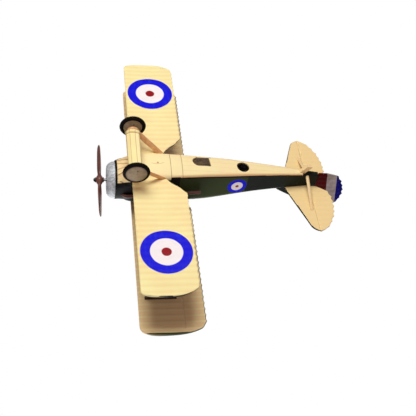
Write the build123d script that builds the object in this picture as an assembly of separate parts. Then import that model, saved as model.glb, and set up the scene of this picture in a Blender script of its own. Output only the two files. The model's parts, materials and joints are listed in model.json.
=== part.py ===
"""Single-seat fighting biplane, a 1:48 collector's display model.

Every piece is modelled in flying axes: +X forward along the thrust line, +Y to port, +Z up, with the
origin at the centre of the propeller hub. At the end the whole model is set down on its two wheels and
its tail skid, and the origin moves to the middle of its footprint on the table.
"""

from build123d import *
import math
import os

# ---------------------------------------------------------------- driving dimensions, millimetres
GROUND_ANGLE = 11.4  # nose-up angle when the wheels and the skid touch the table

UPPER_HALF_SPAN = 81.5
UPPER_CHORD = 30.4
UPPER_LEAD = -15.9  # leading edge
UPPER_BOTTOM = 12.0  # lowest line of the upper wing
LOWER_HALF_SPAN = 77.0
LOWER_CHORD = 26.4
LOWER_LEAD = -15.1
LOWER_BOTTOM = -11.0
WING_THICK = 2.1
RIB_PITCH = 3.3
SCALLOP = 0.35  # depth of the curve between two ribs along a trailing edge

WALL = 1.1  # casting wall of the fuselage
CLEAR = 0.2  # gap between a moving surface and its fixed neighbour
PIN_RADIUS = 0.25
KNUCKLE_RADIUS = 0.6
KNUCKLE_LENGTH = 1.6

AILERON_HINGE = -37.3
AILERON_INNER = 38.0
AILERON_OUTER = 78.9

TAIL_MID = 3.5  # height of the tailplane's middle surface
TAIL_THICK = 1.2
ELEVATOR_HINGE = -109.5
RUDDER_HINGE = -113.5
STERN = -112.6  # sternpost face

WHEEL_X = -16.2
WHEEL_Y = 15.4
WHEEL_Z = -22.2
WHEEL_RADIUS = 6.5
AXLE_RADIUS = 0.5
RUNNING = 0.06  # radial clearance of a running fit

PROP_RADIUS = 20.9
PROP_REST_ANGLE = -10.0  # tilt of the resting blades from the span direction, degrees
SHAFT_RADIUS = 0.7

SOCKET_X = -71.8  # round socket for a display stand
SOCKET_RADIUS = 2.7
SOCKET_DEPTH = 4.0

COCKPIT_X = -47.5
COCKPIT_LENGTH = 11.0
COCKPIT_WIDTH = 8.6

OUTER_STRUT_Y = 62.8
INNER_STRUT_Y = 33.5
STRUT_FRONT_X = -20.3
STRUT_REAR_X = -32.8

COWL_END = -30.0
LOWER_CENTRE_END = -34.4
BELLY_LIP = 1.4  # how far the belly pan wraps up the fuselage sides

# x, half width, belly height, shoulder height, belly corner radius, crown height above the shoulder
STATIONS = [
    (-7.4, 9.5, -9.5, 0.0, 9.2, 9.45),
    (-16.0, 9.5, -10.8, 1.5, 4.5, 8.5),
    (-30.0, 8.6, -11.0, 4.0, 1.8, 6.2),
    (-42.0, 7.7, -10.6, 5.0, 1.2, 5.3),
    (-52.0, 6.95, -10.2, 5.1, 1.2, 5.0),
    (-65.0, 6.0, -9.5, 3.7, 1.1, 4.3),
    (-80.0, 4.4, -8.3, 2.7, 0.9, 3.0),
    (-92.0, 3.1, -7.2, 2.6, 0.7, 2.0),
    (-104.0, 1.9, -5.9, 2.6, 0.5, 1.2),
    (STERN, 1.1, -4.9, 2.6, 0.4, 0.8),
]


# ---------------------------------------------------------------- helpers
def slab(x0, x1, y0, y1, z0, z1):
    """Box between two corners."""
    size = (x1 - x0, y1 - y0, z1 - z0)
    return Pos((x0 + x1) / 2, (y0 + y1) / 2, (z0 + z1) / 2) * Box(*size)


def rod(start, end, radius):
    """Round bar between two points."""
    a, b = Vector(*start), Vector(*end)
    return extrude(Plane(origin=a, z_dir=b - a) * Circle(radius), amount=(b - a).length)


def strut(start, end, chord, thick):
    """Streamlined bar between two points, with its chord fore and aft."""
    a, b = Vector(*start), Vector(*end)
    along = (b - a).normalized()
    fore = Vector(1, 0, 0)
    fore = (fore - along * fore.dot(along)).normalized()
    face = Plane(origin=a, x_dir=fore, z_dir=along) * Ellipse(chord / 2, thick / 2)
    return extrude(face, amount=(b - a).length)


def flat_plate(edges, plane, thick):
    """Closed outline made a plate, half its thickness each side of the plane."""
    return extrude(plane * make_face(edges), amount=thick / 2, both=True)


def scalloped(edge, bays, depth, inward):
    """Arcs from rib to rib along an edge, each pulled towards a point by the scallop's depth."""
    arcs = []
    for bay in range(bays):
        a, b = edge @ (bay / bays), edge @ ((bay + 1) / bays)
        middle = edge @ ((bay + 0.5) / bays)
        pull = (Vector(*inward) - middle).normalized() * depth
        arcs.append(ThreePointArc(a, middle + pull, b))
    return arcs


def solid_only(shape):
    """The shape as one Part of its solids."""
    return Part() + [s for s in shape.solids() if s.volume > 0.02]


def mirrored(shape):
    """The same piece on the other side of the fuselage."""
    return mirror(shape, about=Plane.XZ)


def interpolate(x, column):
    """A station's value at any x, on straight lines between stations."""
    for front, back in zip(STATIONS, STATIONS[1:]):
        if back[0] <= x <= front[0]:
            share = (front[0] - x) / (front[0] - back[0])
            return front[column] + share * (back[column] - front[column])
    return STATIONS[-1][column]


# ---------------------------------------------------------------- fuselage
def section(x, half_width, belly, shoulder, corner, crown):
    """Flat belly with round corners, upright sides and a half-elliptic deck, across the fuselage."""
    across = Plane(origin=(x, 0, 0), x_dir=(0, 1, 0), z_dir=(1, 0, 0))
    w, r = half_width, corner
    edges = [
        Line((r - w, belly), (w - r, belly)),
        CenterArc((w - r, belly + r), r, -90, 90),
        Line((w, belly + r), (w, shoulder)),
        EllipticalCenterArc((0, shoulder), w, crown, start_angle=0, arc_size=90),
        EllipticalCenterArc((0, shoulder), w, crown, start_angle=90, arc_size=90),
        Line((-w, shoulder), (-w, belly + r)),
        CenterArc((r - w, belly + r), r, 180, 90),
    ]
    return across * make_face(edges)


def body_form(grow=0.0, last=STERN):
    """The fuselage as a filled form, its skin moved outwards by grow."""
    stations = [s for s in STATIONS if s[0] > last] + [
        (last, *[interpolate(last, c) for c in range(1, 6)])
    ]
    faces = []
    for x, w, belly, shoulder, corner, crown in stations:
        radius = max(0.25, min(corner + grow, w + grow - 0.3))
        faces.append(section(x, w + grow, belly - grow, shoulder, radius, max(0.3, crown + grow)))
    return loft(faces)


def belly_zone():
    """Everything below the line where the belly pieces meet the fuselage sides, behind the lower wing."""
    rear = [s for s in STATIONS if -104.5 < s[0] < LOWER_CENTRE_END]
    top = [(LOWER_CENTRE_END, interpolate(LOWER_CENTRE_END, 2) + BELLY_LIP)]
    top += [(s[0], s[2] + BELLY_LIP) for s in rear]
    outline = Polyline(*top, (rear[-1][0], -20), (LOWER_CENTRE_END, -20), close=True)
    return extrude(Plane.XZ * make_face(outline), amount=20, both=True)


FORM = body_form()
CAVITY = body_form(-WALL, last=-98.0)
SHELL = FORM - CAVITY
BELLY_ZONE = belly_zone()
CENTRE_TOP = LOWER_BOTTOM + WING_THICK + 0.02
CENTRE_ZONE = slab(LOWER_CENTRE_END, LOWER_LEAD, -20, 20, -20, CENTRE_TOP)
CHIN_TOP = -6.2
CHIN_ZONE = slab(LOWER_LEAD, 0, -20, 20, -20, CHIN_TOP)


# ---------------------------------------------------------------- wings
def wing_profile(lead, bottom, chord):
    """Wing section in the XZ plane: blunt nose, arched top, slightly hollow underside, square tail."""
    t = WING_THICK
    top = Spline(
        (lead, bottom + 0.8),
        (lead - 0.08 * chord, bottom + 0.83 * t),
        (lead - 0.30 * chord, bottom + t),
        (lead - 0.65 * chord, bottom + 0.76 * t),
        (lead - chord, bottom + 0.55),
        tangents=[(0, 1), (-1, -0.12)],
    )
    tail = Line(top @ 1, (lead - chord, bottom + 0.05))
    under = Spline(
        tail @ 1,
        (lead - 0.5 * chord, bottom + 0.25),
        (lead - 0.08 * chord, bottom + 0.02),
        (lead, bottom + 0.8),
        tangents=[(1, 0.02), (0, 1)],
    )
    return make_face([top, tail, under])


def wing_bar(lead, bottom, chord, half_span):
    """The section carried from tip to tip."""
    profile = Plane(origin=(0, 0, 0), x_dir=(1, 0, 0), z_dir=(0, -1, 0)) * wing_profile(lead, bottom, chord)
    return extrude(profile, amount=half_span, both=True)


def half_wing_outline(lead, chord, half_span, root_y, inner_edges):
    """Half a wing seen from above, from the centre line to the tip; inner_edges close it at the root."""
    tail = lead - chord
    front_corner, rear_corner = 3.0, 4.5
    bays = round((half_span - rear_corner - root_y) / RIB_PITCH)
    trailing = Line((tail, half_span - rear_corner), (tail, root_y))
    return [
        Line((lead, 0), (lead, half_span - front_corner)),
        CenterArc((lead - front_corner, half_span - front_corner), front_corner, 0, 90),
        Line((lead - front_corner, half_span), (tail + rear_corner, half_span)),
        CenterArc((tail + rear_corner, half_span - rear_corner), rear_corner, 90, 90),
        *scalloped(trailing, bays, SCALLOP, (lead, half_span / 2)),
        *inner_edges,
    ]


def plan_cut(bar, half_outline):
    """Trims a wing bar to its outline, both halves."""
    half = Pos(0, 0, -30) * extrude(make_face(half_outline), amount=60)
    return bar & (half + mirrored(half))


def make_lower_wing():
    """Both lower panels and the centre section that closes the belly under the cockpit."""
    root = (LOWER_LEAD - LOWER_CHORD, 18.4)
    step = (-38.2, 14.6)
    meet = (-31.7, 8.5)
    inner = [
        ThreePointArc(root, (-39.3, 16.9), step),
        ThreePointArc(step, (-34.6, 12.2), meet),
        Line(meet, (LOWER_CENTRE_END, interpolate(LOWER_CENTRE_END, 1) - 0.2)),
        Line((LOWER_CENTRE_END, interpolate(LOWER_CENTRE_END, 1) - 0.2), (LOWER_CENTRE_END, 0)),
        Line((LOWER_CENTRE_END, 0), (LOWER_LEAD, 0)),
    ]
    bar = wing_bar(LOWER_LEAD, LOWER_BOTTOM, LOWER_CHORD, LOWER_HALF_SPAN)
    panels = plan_cut(bar, half_wing_outline(LOWER_LEAD, LOWER_CHORD, LOWER_HALF_SPAN, 18.4, inner))
    wing = panels + (FORM & CENTRE_ZONE)
    screw_hole = rod((FRONT_SCREW_X, 0, -12), (FRONT_SCREW_X, 0, -8), 0.6)
    plug_seat = rod((FRONT_SCREW_X, 0, -12), (FRONT_SCREW_X, 0, LOWER_BOTTOM + 0.95), PLUG_RADIUS)
    return wing - screw_hole - plug_seat


def knuckles(hinge_x, z, places, bore, depth):
    """Hinge knuckles on a fixed surface, joined to its rear edge, for a hinge across the span."""
    found = Part()
    half = KNUCKLE_LENGTH / 2
    for y in places:
        eye = rod((hinge_x, y - half, z), (hinge_x, y + half, z), KNUCKLE_RADIUS)
        web = slab(hinge_x, hinge_x + depth, y - half, y + half, z - 0.42, z + 0.42)
        found += eye + web - rod((hinge_x, y - 2, z), (hinge_x, y + 2, z), bore)
    return found


def notches(hinge_x, z, places):
    """Gaps in a moving surface where the fixed knuckles sit."""
    reach = KNUCKLE_RADIUS + 0.3
    half = KNUCKLE_LENGTH / 2 + CLEAR
    found = Part()
    for y in places:
        found += slab(hinge_x - reach, hinge_x + reach, y - half, y + half, z - 1.2, z + 1.2)
    return found


AILERON_AXIS_Z = UPPER_BOTTOM + 0.85
AILERON_KNUCKLES = [AILERON_INNER + 4, (AILERON_INNER + AILERON_OUTER) / 2, AILERON_OUTER - 4]
HINGE_GAP = KNUCKLE_RADIUS + CLEAR


def make_upper_wing():
    """One-piece upper wing with the hand-hold notch over the cockpit, and its two ailerons cut out."""
    tail = UPPER_LEAD - UPPER_CHORD
    notch_y, notch_depth = 8.2, 5.6
    inner = [
        ThreePointArc((tail, notch_y), (tail + notch_depth * 0.8, notch_y * 0.62), (tail + notch_depth, 0)),
        Line((tail + notch_depth, 0), (UPPER_LEAD, 0)),
    ]
    bar = wing_bar(UPPER_LEAD, UPPER_BOTTOM, UPPER_CHORD, UPPER_HALF_SPAN)
    whole = plan_cut(bar, half_wing_outline(UPPER_LEAD, UPPER_CHORD, UPPER_HALF_SPAN, notch_y, inner))
    opening = slab(tail - 2, AILERON_HINGE + HINGE_GAP, AILERON_INNER, AILERON_OUTER, 5, 20)
    zone = slab(tail - 2, AILERON_HINGE, AILERON_INNER + CLEAR, AILERON_OUTER - CLEAR, 5, 20)
    start = (AILERON_HINGE, AILERON_INNER + CLEAR, AILERON_AXIS_Z)
    end = (AILERON_HINGE, AILERON_OUTER - CLEAR, AILERON_AXIS_Z)
    aileron = (whole & zone) + rod(start, end, KNUCKLE_RADIUS)
    aileron -= notches(AILERON_HINGE, AILERON_AXIS_Z, AILERON_KNUCKLES)
    aileron -= rod(start, end, PIN_RADIUS + RUNNING)
    wing = whole - opening - mirrored(opening)
    lugs = knuckles(AILERON_HINGE, AILERON_AXIS_Z, AILERON_KNUCKLES, PIN_RADIUS, HINGE_GAP + 0.4)
    wing = wing + lugs + mirrored(lugs)
    pin = rod((AILERON_HINGE, AILERON_INNER + 1, AILERON_AXIS_Z),
              (AILERON_HINGE, AILERON_OUTER - 1, AILERON_AXIS_Z), PIN_RADIUS)
    return wing, aileron, pin


def make_strut_pair(y, chord, thick, lower_wing, upper_wing):
    """Front and rear struts between the wings, joined by a foot rail along each wing, as one moulding."""
    low, high = LOWER_BOTTOM + 1.2, UPPER_BOTTOM + 0.9
    front = strut((STRUT_FRONT_X, y, low), (STRUT_FRONT_X, y, high), chord, thick)
    rear = strut((STRUT_REAR_X, y, low), (STRUT_REAR_X, y, high), chord, thick)
    rails = Part()
    for z in (LOWER_BOTTOM + WING_THICK, UPPER_BOTTOM):
        rails += slab(STRUT_REAR_X - 1.2, STRUT_FRONT_X + 1.2, y - thick / 2 - 0.15, y + thick / 2 + 0.15, z - 0.5, z + 0.6)
    return solid_only(front + rear + rails - lower_wing - upper_wing)


def make_cabane(y, x, chord, upper_wing):
    """Short strut from the deck to the upper wing, leaning outwards at its top."""
    piece = strut((x, y, 4.0), (x, y + 1.2, UPPER_BOTTOM + 1.0), chord, 1.0)
    return solid_only(piece - FORM - upper_wing)


# ---------------------------------------------------------------- tail
def tail_half_edges():
    """Half the tailplane with its elevator, seen from above: swept front, round tip, curved scalloped tail."""
    tail_curve = Spline(
        (-110.6, 31.6), (-115.8, 27.6), (-119.0, 21.5), (-120.3, 15.0), (-120.2, 9.4), (-119.3, 5.6)
    )
    return [
        Line((-94.6, 0), (-105.2, 29.2)),
        ThreePointArc((-105.2, 29.2), (-107.1, 31.4), (-110.6, 31.6)),
        *scalloped(tail_curve, 9, 0.35, (-108, 12)),
        Line((-119.3, 5.6), (STERN, 1.6)),
        Line((STERN, 1.6), (STERN, 0)),
        Line((STERN, 0), (-94.6, 0)),
    ]


ELEVATOR_KNUCKLES = [5.5, 16.5, 27.5]


def make_tailplane():
    """Tailplane, the two elevators and the torque tube that joins them."""
    level = Plane(origin=(0, 0, TAIL_MID))
    half = flat_plate(tail_half_edges(), level, TAIL_THICK)
    whole = half + mirrored(half)
    front = whole & slab(ELEVATOR_HINGE + HINGE_GAP, -80, -40, 40, 0, 8)
    lugs = knuckles(ELEVATOR_HINGE, TAIL_MID, ELEVATOR_KNUCKLES, PIN_RADIUS + RUNNING, HINGE_GAP + 0.4)
    front = front + lugs + mirrored(lugs)
    start, end = (ELEVATOR_HINGE, 1.9, TAIL_MID), (ELEVATOR_HINGE, 31.2, TAIL_MID)
    elevator = half & slab(-125, ELEVATOR_HINGE, 1.9, 40, 0, 8)
    elevator = elevator + rod(start, end, KNUCKLE_RADIUS)
    elevator -= notches(ELEVATOR_HINGE, TAIL_MID, ELEVATOR_KNUCKLES)
    elevator -= rod((ELEVATOR_HINGE, 0, TAIL_MID), (ELEVATOR_HINGE, 30, TAIL_MID), PIN_RADIUS)
    tube = rod((ELEVATOR_HINGE, -30, TAIL_MID), (ELEVATOR_HINGE, 30, TAIL_MID), PIN_RADIUS)
    return front, elevator, tube


RUDDER_KNUCKLES = [-2.4, 8.0, 15.4]
RUDDER_BOTTOM = -4.6
FIN_TOP = 17.4


def upright_knuckles(places, bore):
    """Hinge knuckles on the sternpost and fin, for the upright rudder hinge."""
    found = Part()
    half = KNUCKLE_LENGTH / 2
    for z in places:
        eye = rod((RUDDER_HINGE, 0, z - half), (RUDDER_HINGE, 0, z + half), KNUCKLE_RADIUS)
        web = slab(RUDDER_HINGE, STERN + 0.4, -0.42, 0.42, z - half, z + half)
        found += eye + web - rod((RUDDER_HINGE, 0, z - 2), (RUDDER_HINGE, 0, z + 2), bore)
    return found


def make_fin(tailplane):
    """Upright fin on the deck, carrying the rudder knuckles above the fuselage."""
    rise = Spline((-89.5, 4.2), (-98.8, 10.9), (-106.0, 15.2), (STERN, FIN_TOP))
    edges = [rise, Line((STERN, FIN_TOP), (STERN, 2.0)), Line((STERN, 2.0), (-89.5, 2.0)), Line((-89.5, 2.0), (-89.5, 4.2))]
    plate = flat_plate(edges, Plane.XZ, TAIL_THICK)
    plate += upright_knuckles(RUDDER_KNUCKLES[1:], PIN_RADIUS)
    around_tube = rod((ELEVATOR_HINGE, -3, TAIL_MID), (ELEVATOR_HINGE, 3, TAIL_MID), PIN_RADIUS + 0.1)
    return solid_only(plate - FORM - tailplane - around_tube)


def make_rudder():
    """Balanced-looking round rudder with a scalloped edge."""
    back = Spline(
        (-123.7, -2.9), (-127.2, 1.2), (-129.6, 6.6), (-130.4, 11.5), (-129.5, 16.6), (-126.3, 20.6), (-120.8, 22.0)
    )
    edges = [
        Line((RUDDER_HINGE, 18.2), (RUDDER_HINGE, RUDDER_BOTTOM)),
        Line((RUDDER_HINGE, RUDDER_BOTTOM), (-123.7, -2.9)),
        *scalloped(back, 8, 0.35, (-115, 9)),
        ThreePointArc((-120.8, 22.0), (-116.4, 21.2), (RUDDER_HINGE, 18.2)),
    ]
    plate = flat_plate(edges, Plane.XZ, TAIL_THICK)
    post = rod((RUDDER_HINGE, 0, RUDDER_BOTTOM), (RUDDER_HINGE, 0, 18.0), KNUCKLE_RADIUS)
    reach = KNUCKLE_RADIUS + 0.3
    half = KNUCKLE_LENGTH / 2 + CLEAR
    rudder = plate + post
    for z in RUDDER_KNUCKLES:
        rudder -= slab(RUDDER_HINGE - reach, RUDDER_HINGE + reach, -1.2, 1.2, z - half, z + half)
    bore = rod((RUDDER_HINGE, 0, -6), (RUDDER_HINGE, 0, 17.2), PIN_RADIUS + RUNNING)
    pin = rod((RUDDER_HINGE, 0, RUDDER_BOTTOM + 0.2), (RUDDER_HINGE, 0, 17.0), PIN_RADIUS)
    return solid_only(rudder - bore), pin


def ground_height(x):
    """Height of the table below a point of the fuselage, in flying axes."""
    a = math.radians(GROUND_ANGLE)
    table = WHEEL_X * math.sin(a) + WHEEL_Z * math.cos(a) - WHEEL_RADIUS
    return (table - x * math.sin(a)) / math.cos(a)


def make_skid():
    """Wedge-shaped tail skid, leaning back from the belly to the table, with a flat shoe."""
    toe, heel = -105.6, -108.2
    edges = Polyline(
        (-101.2, -5.0), (-104.6, -5.0), (heel + 0.5, ground_height(heel) + 0.9), (heel, ground_height(heel)),
        (toe, ground_height(toe)), (toe + 0.4, ground_height(toe) + 0.7), close=True
    )
    return solid_only(flat_plate(edges, Plane.XZ, 2.0) - FORM)


def make_tail_strut(tailplane):
    """Bracing strut from the tail of the fuselage out to the tailplane's underside."""
    piece = strut((-106.6, 0.8, -4.6), (-107.6, 18.6, TAIL_MID), 1.7, 1.0)
    return solid_only(piece - FORM - tailplane - slab(-120, -100, -1, 30, TAIL_MID - TAIL_THICK / 2, 10))


# ---------------------------------------------------------------- nose
RING_BACK = STATIONS[0][0]
RING_FRONT = -2.9


def round_about_thrust(points):
    """Closed profile, given as (x, radius) pairs, turned about the thrust line."""
    return revolve(Plane.XY * make_face(Polyline(*points, close=True)), axis=Axis.X)


def make_radiator_ring():
    """Cast ring round the radiator, with a rounded lip."""
    edges = [
        Line((RING_BACK, 8.3), (RING_BACK, 9.1)),
        Line((RING_BACK, 9.1), (-5.6, 9.1)),
        ThreePointArc((-5.6, 9.1), (-3.75, 8.45), (RING_FRONT, 7.0)),
        ThreePointArc((RING_FRONT, 7.0), (RING_FRONT - 0.25, 6.65), (RING_FRONT - 0.7, 6.6)),
        Line((RING_FRONT - 0.7, 6.6), (-4.7, 8.3)),
        Line((-4.7, 8.3), (RING_BACK, 8.3)),
    ]
    return revolve(Plane.XY * make_face(edges), axis=Axis.X)


def make_radiator_core():
    """Round radiator block with a hole for the propeller shaft's bearing."""
    return round_about_thrust([(-7.2, 1.6), (-7.2, 8.3), (-5.2, 8.3), (-5.2, 1.6)])


def make_shutters():
    """Upright shutter slats in front of the radiator, as separate strips."""
    slats = Part()
    for y in [-6.3, -4.5, -2.7, 2.7, 4.5, 6.3]:
        half = math.sqrt(8.1**2 - (abs(y) + 0.55) ** 2)
        slats += slab(-5.2, -4.8, y - 0.55, y + 0.55, -half, half)
    return slats


def make_bearing():
    """Bush that carries the propeller shaft through the radiator."""
    return round_about_thrust(
        [(-8.2, SHAFT_RADIUS + RUNNING), (-8.2, 1.6), (-3.6, 1.6), (-3.6, SHAFT_RADIUS + RUNNING)]
    )


def make_nose_cowl():
    """Engine cover: thin round casting with a cylinder-head blister each side and a screw boss inside."""
    cowl = SHELL & slab(COWL_END, 0, -20, 20, -20, 20)
    cowl = cowl - CENTRE_ZONE - CHIN_ZONE
    half_length, half_thick = 7.5, 2.2
    ellipsoid = revolve(
        Plane.XY * make_face([EllipticalCenterArc((0, 0), half_length, half_thick, start_angle=0, arc_size=180),
                              Line((-half_length, 0), (half_length, 0))]), axis=Axis.X)
    blister = Pos(-19.0, 6.6, 5.9) * ellipsoid - CAVITY
    cowl += blister + mirrored(blister)
    boss = rod((FRONT_SCREW_X, 0, CENTRE_TOP), (FRONT_SCREW_X, 0, 10.0), 1.7) & body_form(-0.4)
    cowl += boss
    return solid_only(cowl - rod((FRONT_SCREW_X, 0, -12), (FRONT_SCREW_X, 0, -3), 0.45))


def make_chin_panel():
    """Engine underpanel between the radiator ring and the lower wing."""
    return solid_only((SHELL & CHIN_ZONE) - slab(-60, LOWER_LEAD, -20, 20, -20, 20))


def make_exhaust():
    """Exhaust pipe along the port side with four stubs into the cowl; its tail end is open."""
    height = 0.5
    start, bend, end = (-10.0, 8.2, height), (-12.4, 10.5, height), (-50.2, 8.4, height - 0.3)
    path = FilletPolyline(start, bend, end, radius=1.6)
    pipe = sweep(Plane(origin=path @ 0, z_dir=path % 0) * Circle(0.85), path=path)
    for x in (-14.5, -18.5, -22.5, -26.5):
        outer = bend[1] + (end[1] - bend[1]) * (x - bend[0]) / (end[0] - bend[0])
        pipe += rod((x + 0.6, 8.0, height + 0.5), (x, outer, height), 0.7)
    mouth = (end[0] + 3.0, end[1] + 0.155, end[2] + 0.02)
    pipe -= rod(mouth, end, 0.6)
    return solid_only(pipe - FORM)


# ---------------------------------------------------------------- propeller
# radius, chord, thickness, pitch angle in degrees
BLADE_SECTIONS = [
    (0.0, 3.8, 3.8, 72),
    (2.6, 2.7, 2.5, 52),
    (5.5, 3.0, 1.6, 32),
    (9.5, 3.7, 1.2, 21),
    (14.0, 3.9, 0.95, 15),
    (17.8, 3.3, 0.75, 12),
    (20.0, 2.0, 0.55, 10),
    (PROP_RADIUS, 0.9, 0.4, 10),
]


def make_propeller():
    """Two carved blades and their boss, as one piece of wood, with the shaft hole through it."""
    sections = []
    for radius, chord, thick, pitch in BLADE_SECTIONS:
        a = math.radians(pitch)
        at = Plane(origin=(0, 0, radius), x_dir=(math.sin(a), math.cos(a), 0), z_dir=(0, 0, 1))
        sections.append(at * Ellipse(chord / 2, thick / 2))
    blade = loft(sections)
    boss = rod((-1.8, 0, 0), (1.8, 0, 0), 2.2)
    both = blade + Rot(180, 0, 0) * blade + boss
    both -= rod((-4, 0, 0), (4, 0, 0), SHAFT_RADIUS)
    both &= slab(-1.8, 1.8, -30, 30, -30, 30)
    return solid_only(Rot(PROP_REST_ANGLE - 90, 0, 0) * both)


def make_hub_plates():
    """Round steel plates that clamp the boss, front and back, with six bolt heads in front."""
    front = round_about_thrust([(1.8, SHAFT_RADIUS), (1.8, 1.3), (2.15, 1.3), (2.15, SHAFT_RADIUS)])
    back = round_about_thrust([(-2.15, SHAFT_RADIUS), (-2.15, 1.3), (-1.8, 1.3), (-1.8, SHAFT_RADIUS)])
    for k in range(6):
        a = math.radians(60 * k)
        y, z = 1.12 * math.cos(a), 1.12 * math.sin(a)
        front += rod((2.15, y, z), (2.3, y, z), 0.13)
    return front + back


def make_prop_nut():
    """Domed nut on the front of the shaft."""
    r = SHAFT_RADIUS
    return round_about_thrust(
        [(2.15, r), (2.15, 0.9), (2.6, 0.9), (2.85, 0.7), (3.0, 0.3), (3.0, 0), (2.6, 0), (2.6, r)]
    )


def make_prop_shaft():
    return rod((-9.6, 0, 0), (2.6, 0, 0), SHAFT_RADIUS)


def make_shaft_collar():
    """Collar behind the bearing that keeps the shaft in."""
    return round_about_thrust([(-9.2, SHAFT_RADIUS), (-9.2, 1.5), (-8.35, 1.5), (-8.35, SHAFT_RADIUS)])


# ---------------------------------------------------------------- undercarriage
APEX_Y = 12.4


def make_gear_leg(lower_wing):
    """Port pair of undercarriage legs, meeting in a pointed plate that holds the axle."""
    front = strut((-15.0, APEX_Y, -21.4), (-15.6, 7.4, -6.5), 2.4, 1.1)
    rear = strut((-18.0, APEX_Y, -21.2), (-30.9, 8.3, -9.8), 2.8, 1.1)
    plate_outline = [
        ThreePointArc((-13.2, -21.0), (-13.8, -23.2), (-16.0, -24.3)),
        ThreePointArc((-16.0, -24.3), (-18.4, -23.3), (-19.2, -21.0)),
        Line((-19.2, -21.0), (-17.6, -19.2)),
        Line((-17.6, -19.2), (-14.4, -19.2)),
        Line((-14.4, -19.2), (-13.2, -21.0)),
    ]
    plate = flat_plate(plate_outline, Plane(origin=(0, APEX_Y, 0), x_dir=(1, 0, 0), z_dir=(0, -1, 0)), 1.4)
    boss = rod((WHEEL_X, APEX_Y - 0.7, WHEEL_Z), (WHEEL_X, APEX_Y + 1.2, WHEEL_Z), 1.3)
    leg = front + rear + plate + boss
    leg -= rod((WHEEL_X, 5, WHEEL_Z), (WHEEL_X, 25, WHEEL_Z), AXLE_RADIUS)
    return solid_only(leg - FORM - lower_wing)


def make_axle_fairing():
    """Streamlined plank between the legs that covers the axle."""
    half = APEX_Y - 0.7
    face = Plane(origin=(WHEEL_X + 0.2, -half, WHEEL_Z), x_dir=(1, 0, 0), z_dir=(0, 1, 0)) * Ellipse(3.4, 1.15)
    plank = extrude(face, amount=2 * half)
    return plank - rod((WHEEL_X, -20, WHEEL_Z), (WHEEL_X, 20, WHEEL_Z), AXLE_RADIUS)


HUB_FACE = 0.5  # half thickness of the wheel core
AXLE_END = WHEEL_Y + HUB_FACE + 0.45


def make_axle():
    return rod((WHEEL_X, -AXLE_END, WHEEL_Z), (WHEEL_X, AXLE_END, WHEEL_Z), AXLE_RADIUS)


def make_axle_clip():
    """Washer pressed on the axle end inside the wheel, which keeps the wheel on."""
    clip = rod((WHEEL_X, AXLE_END - 0.35, WHEEL_Z), (WHEEL_X, AXLE_END, WHEEL_Z), 1.1)
    return clip - make_axle()


def round_about_axle(edges):
    """Closed profile with x as radius and y as the distance outboard of the wheel's middle, turned."""
    return Pos(WHEEL_X, WHEEL_Y, WHEEL_Z) * revolve(Plane.XY * make_face(edges), axis=Axis.Y)


def make_wheel_core():
    """Wheel core with the running bore, dished towards the leg."""
    bore = AXLE_RADIUS + RUNNING
    return round_about_axle(
        Polyline((bore, -1.5), (1.3, -1.5), (4.7, -HUB_FACE), (4.7, HUB_FACE), (bore, HUB_FACE), close=True)
    )


def make_tyre():
    """Round-section tyre seated on the core's rim."""
    centre = WHEEL_RADIUS - 1.05
    ring = round_about_axle([CenterArc((centre, 0), 1.05, 0, 360)])
    seat = round_about_axle(Polyline((4.0, -0.7), (4.7, -0.7), (4.7, 0.7), (4.0, 0.7), close=True))
    return solid_only(ring - seat - make_wheel_core() - make_wheel_cover())


def make_wheel_cover():
    """Closed, slightly conical outer cover of the wheel."""
    return round_about_axle(
        Polyline((0, 1.75), (0.6, 1.72), (5.15, 0.95), (5.15, 0.62), (4.7, HUB_FACE), (1.5, HUB_FACE), (1.5, 1.15),
                 (0, 1.15), close=True)
    )


# ---------------------------------------------------------------- cockpit and deck fittings
def cockpit_hole(margin):
    """Upright elliptic prism over the cockpit."""
    face = Plane(origin=(COCKPIT_X, 0, 0)) * Ellipse(COCKPIT_LENGTH / 2 + margin, COCKPIT_WIDTH / 2 + margin)
    return extrude(face, amount=20)


def make_cockpit_rim():
    """Padded edge round the cockpit opening."""
    band = body_form(0.5) - body_form(-0.3)
    ring = (cockpit_hole(0.5) - cockpit_hole(-0.5)) & band & slab(-60, -35, -9, 9, 3, 20)
    return solid_only(ring - (FORM - cockpit_hole(0.0)))


def make_cockpit_tub():
    """Open tray under the cockpit that carries the seat and the stick."""
    x0, x1 = COCKPIT_X - 6.0, COCKPIT_X + 6.0
    outer = slab(x0, x1, -4.9, 4.9, -6.0, 2.0)
    return outer - slab(x0 + 0.7, x1 - 0.7, -4.2, 4.2, -5.2, 3.0)


def make_seat():
    """Bucket seat with a curved back."""
    x = COCKPIT_X - 2.0
    base = rod((x, 0, -5.2), (x, 0, -2.4), 2.6)
    back = rod((x, 0, -2.4), (x, 0, 2.6), 2.6) - rod((x, 0, -3), (x, 0, 4), 2.1)
    back -= slab(x - 0.3, x + 5, -5, 5, -3, 4)
    return base + back


def make_stick():
    """Control stick with its loop grip."""
    x = COCKPIT_X + 2.6
    grip = Pos(x + 0.2, 0, 0.9) * Torus(0.7, 0.22)
    return rod((x, 0, -5.2), (x + 0.2, 0, 0.95), 0.25) + Pos(0, 0, 0) * grip + rod((x + 0.2, -0.7, 0.9), (x + 0.2, 0.7, 0.9), 0.2)


def make_instrument_panel():
    """Upright panel across the front of the cockpit."""
    x = COCKPIT_X + COCKPIT_LENGTH / 2 + 0.2
    return solid_only(body_form(-WALL - 0.05, last=-80.0) & slab(x, x + 0.7, -20, 20, 2.2, 20))


def make_dials():
    """Instrument faces on the panel."""
    x = COCKPIT_X + COCKPIT_LENGTH / 2 + 0.2
    dials = Part()
    for y, z, radius in ((-3.2, 4.6, 0.9), (0, 6.2, 1.1), (3.2, 4.6, 0.9), (0, 3.6, 0.7)):
        dials += rod((x - 0.25, y, z), (x, y, z), radius)
    return dials


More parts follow.
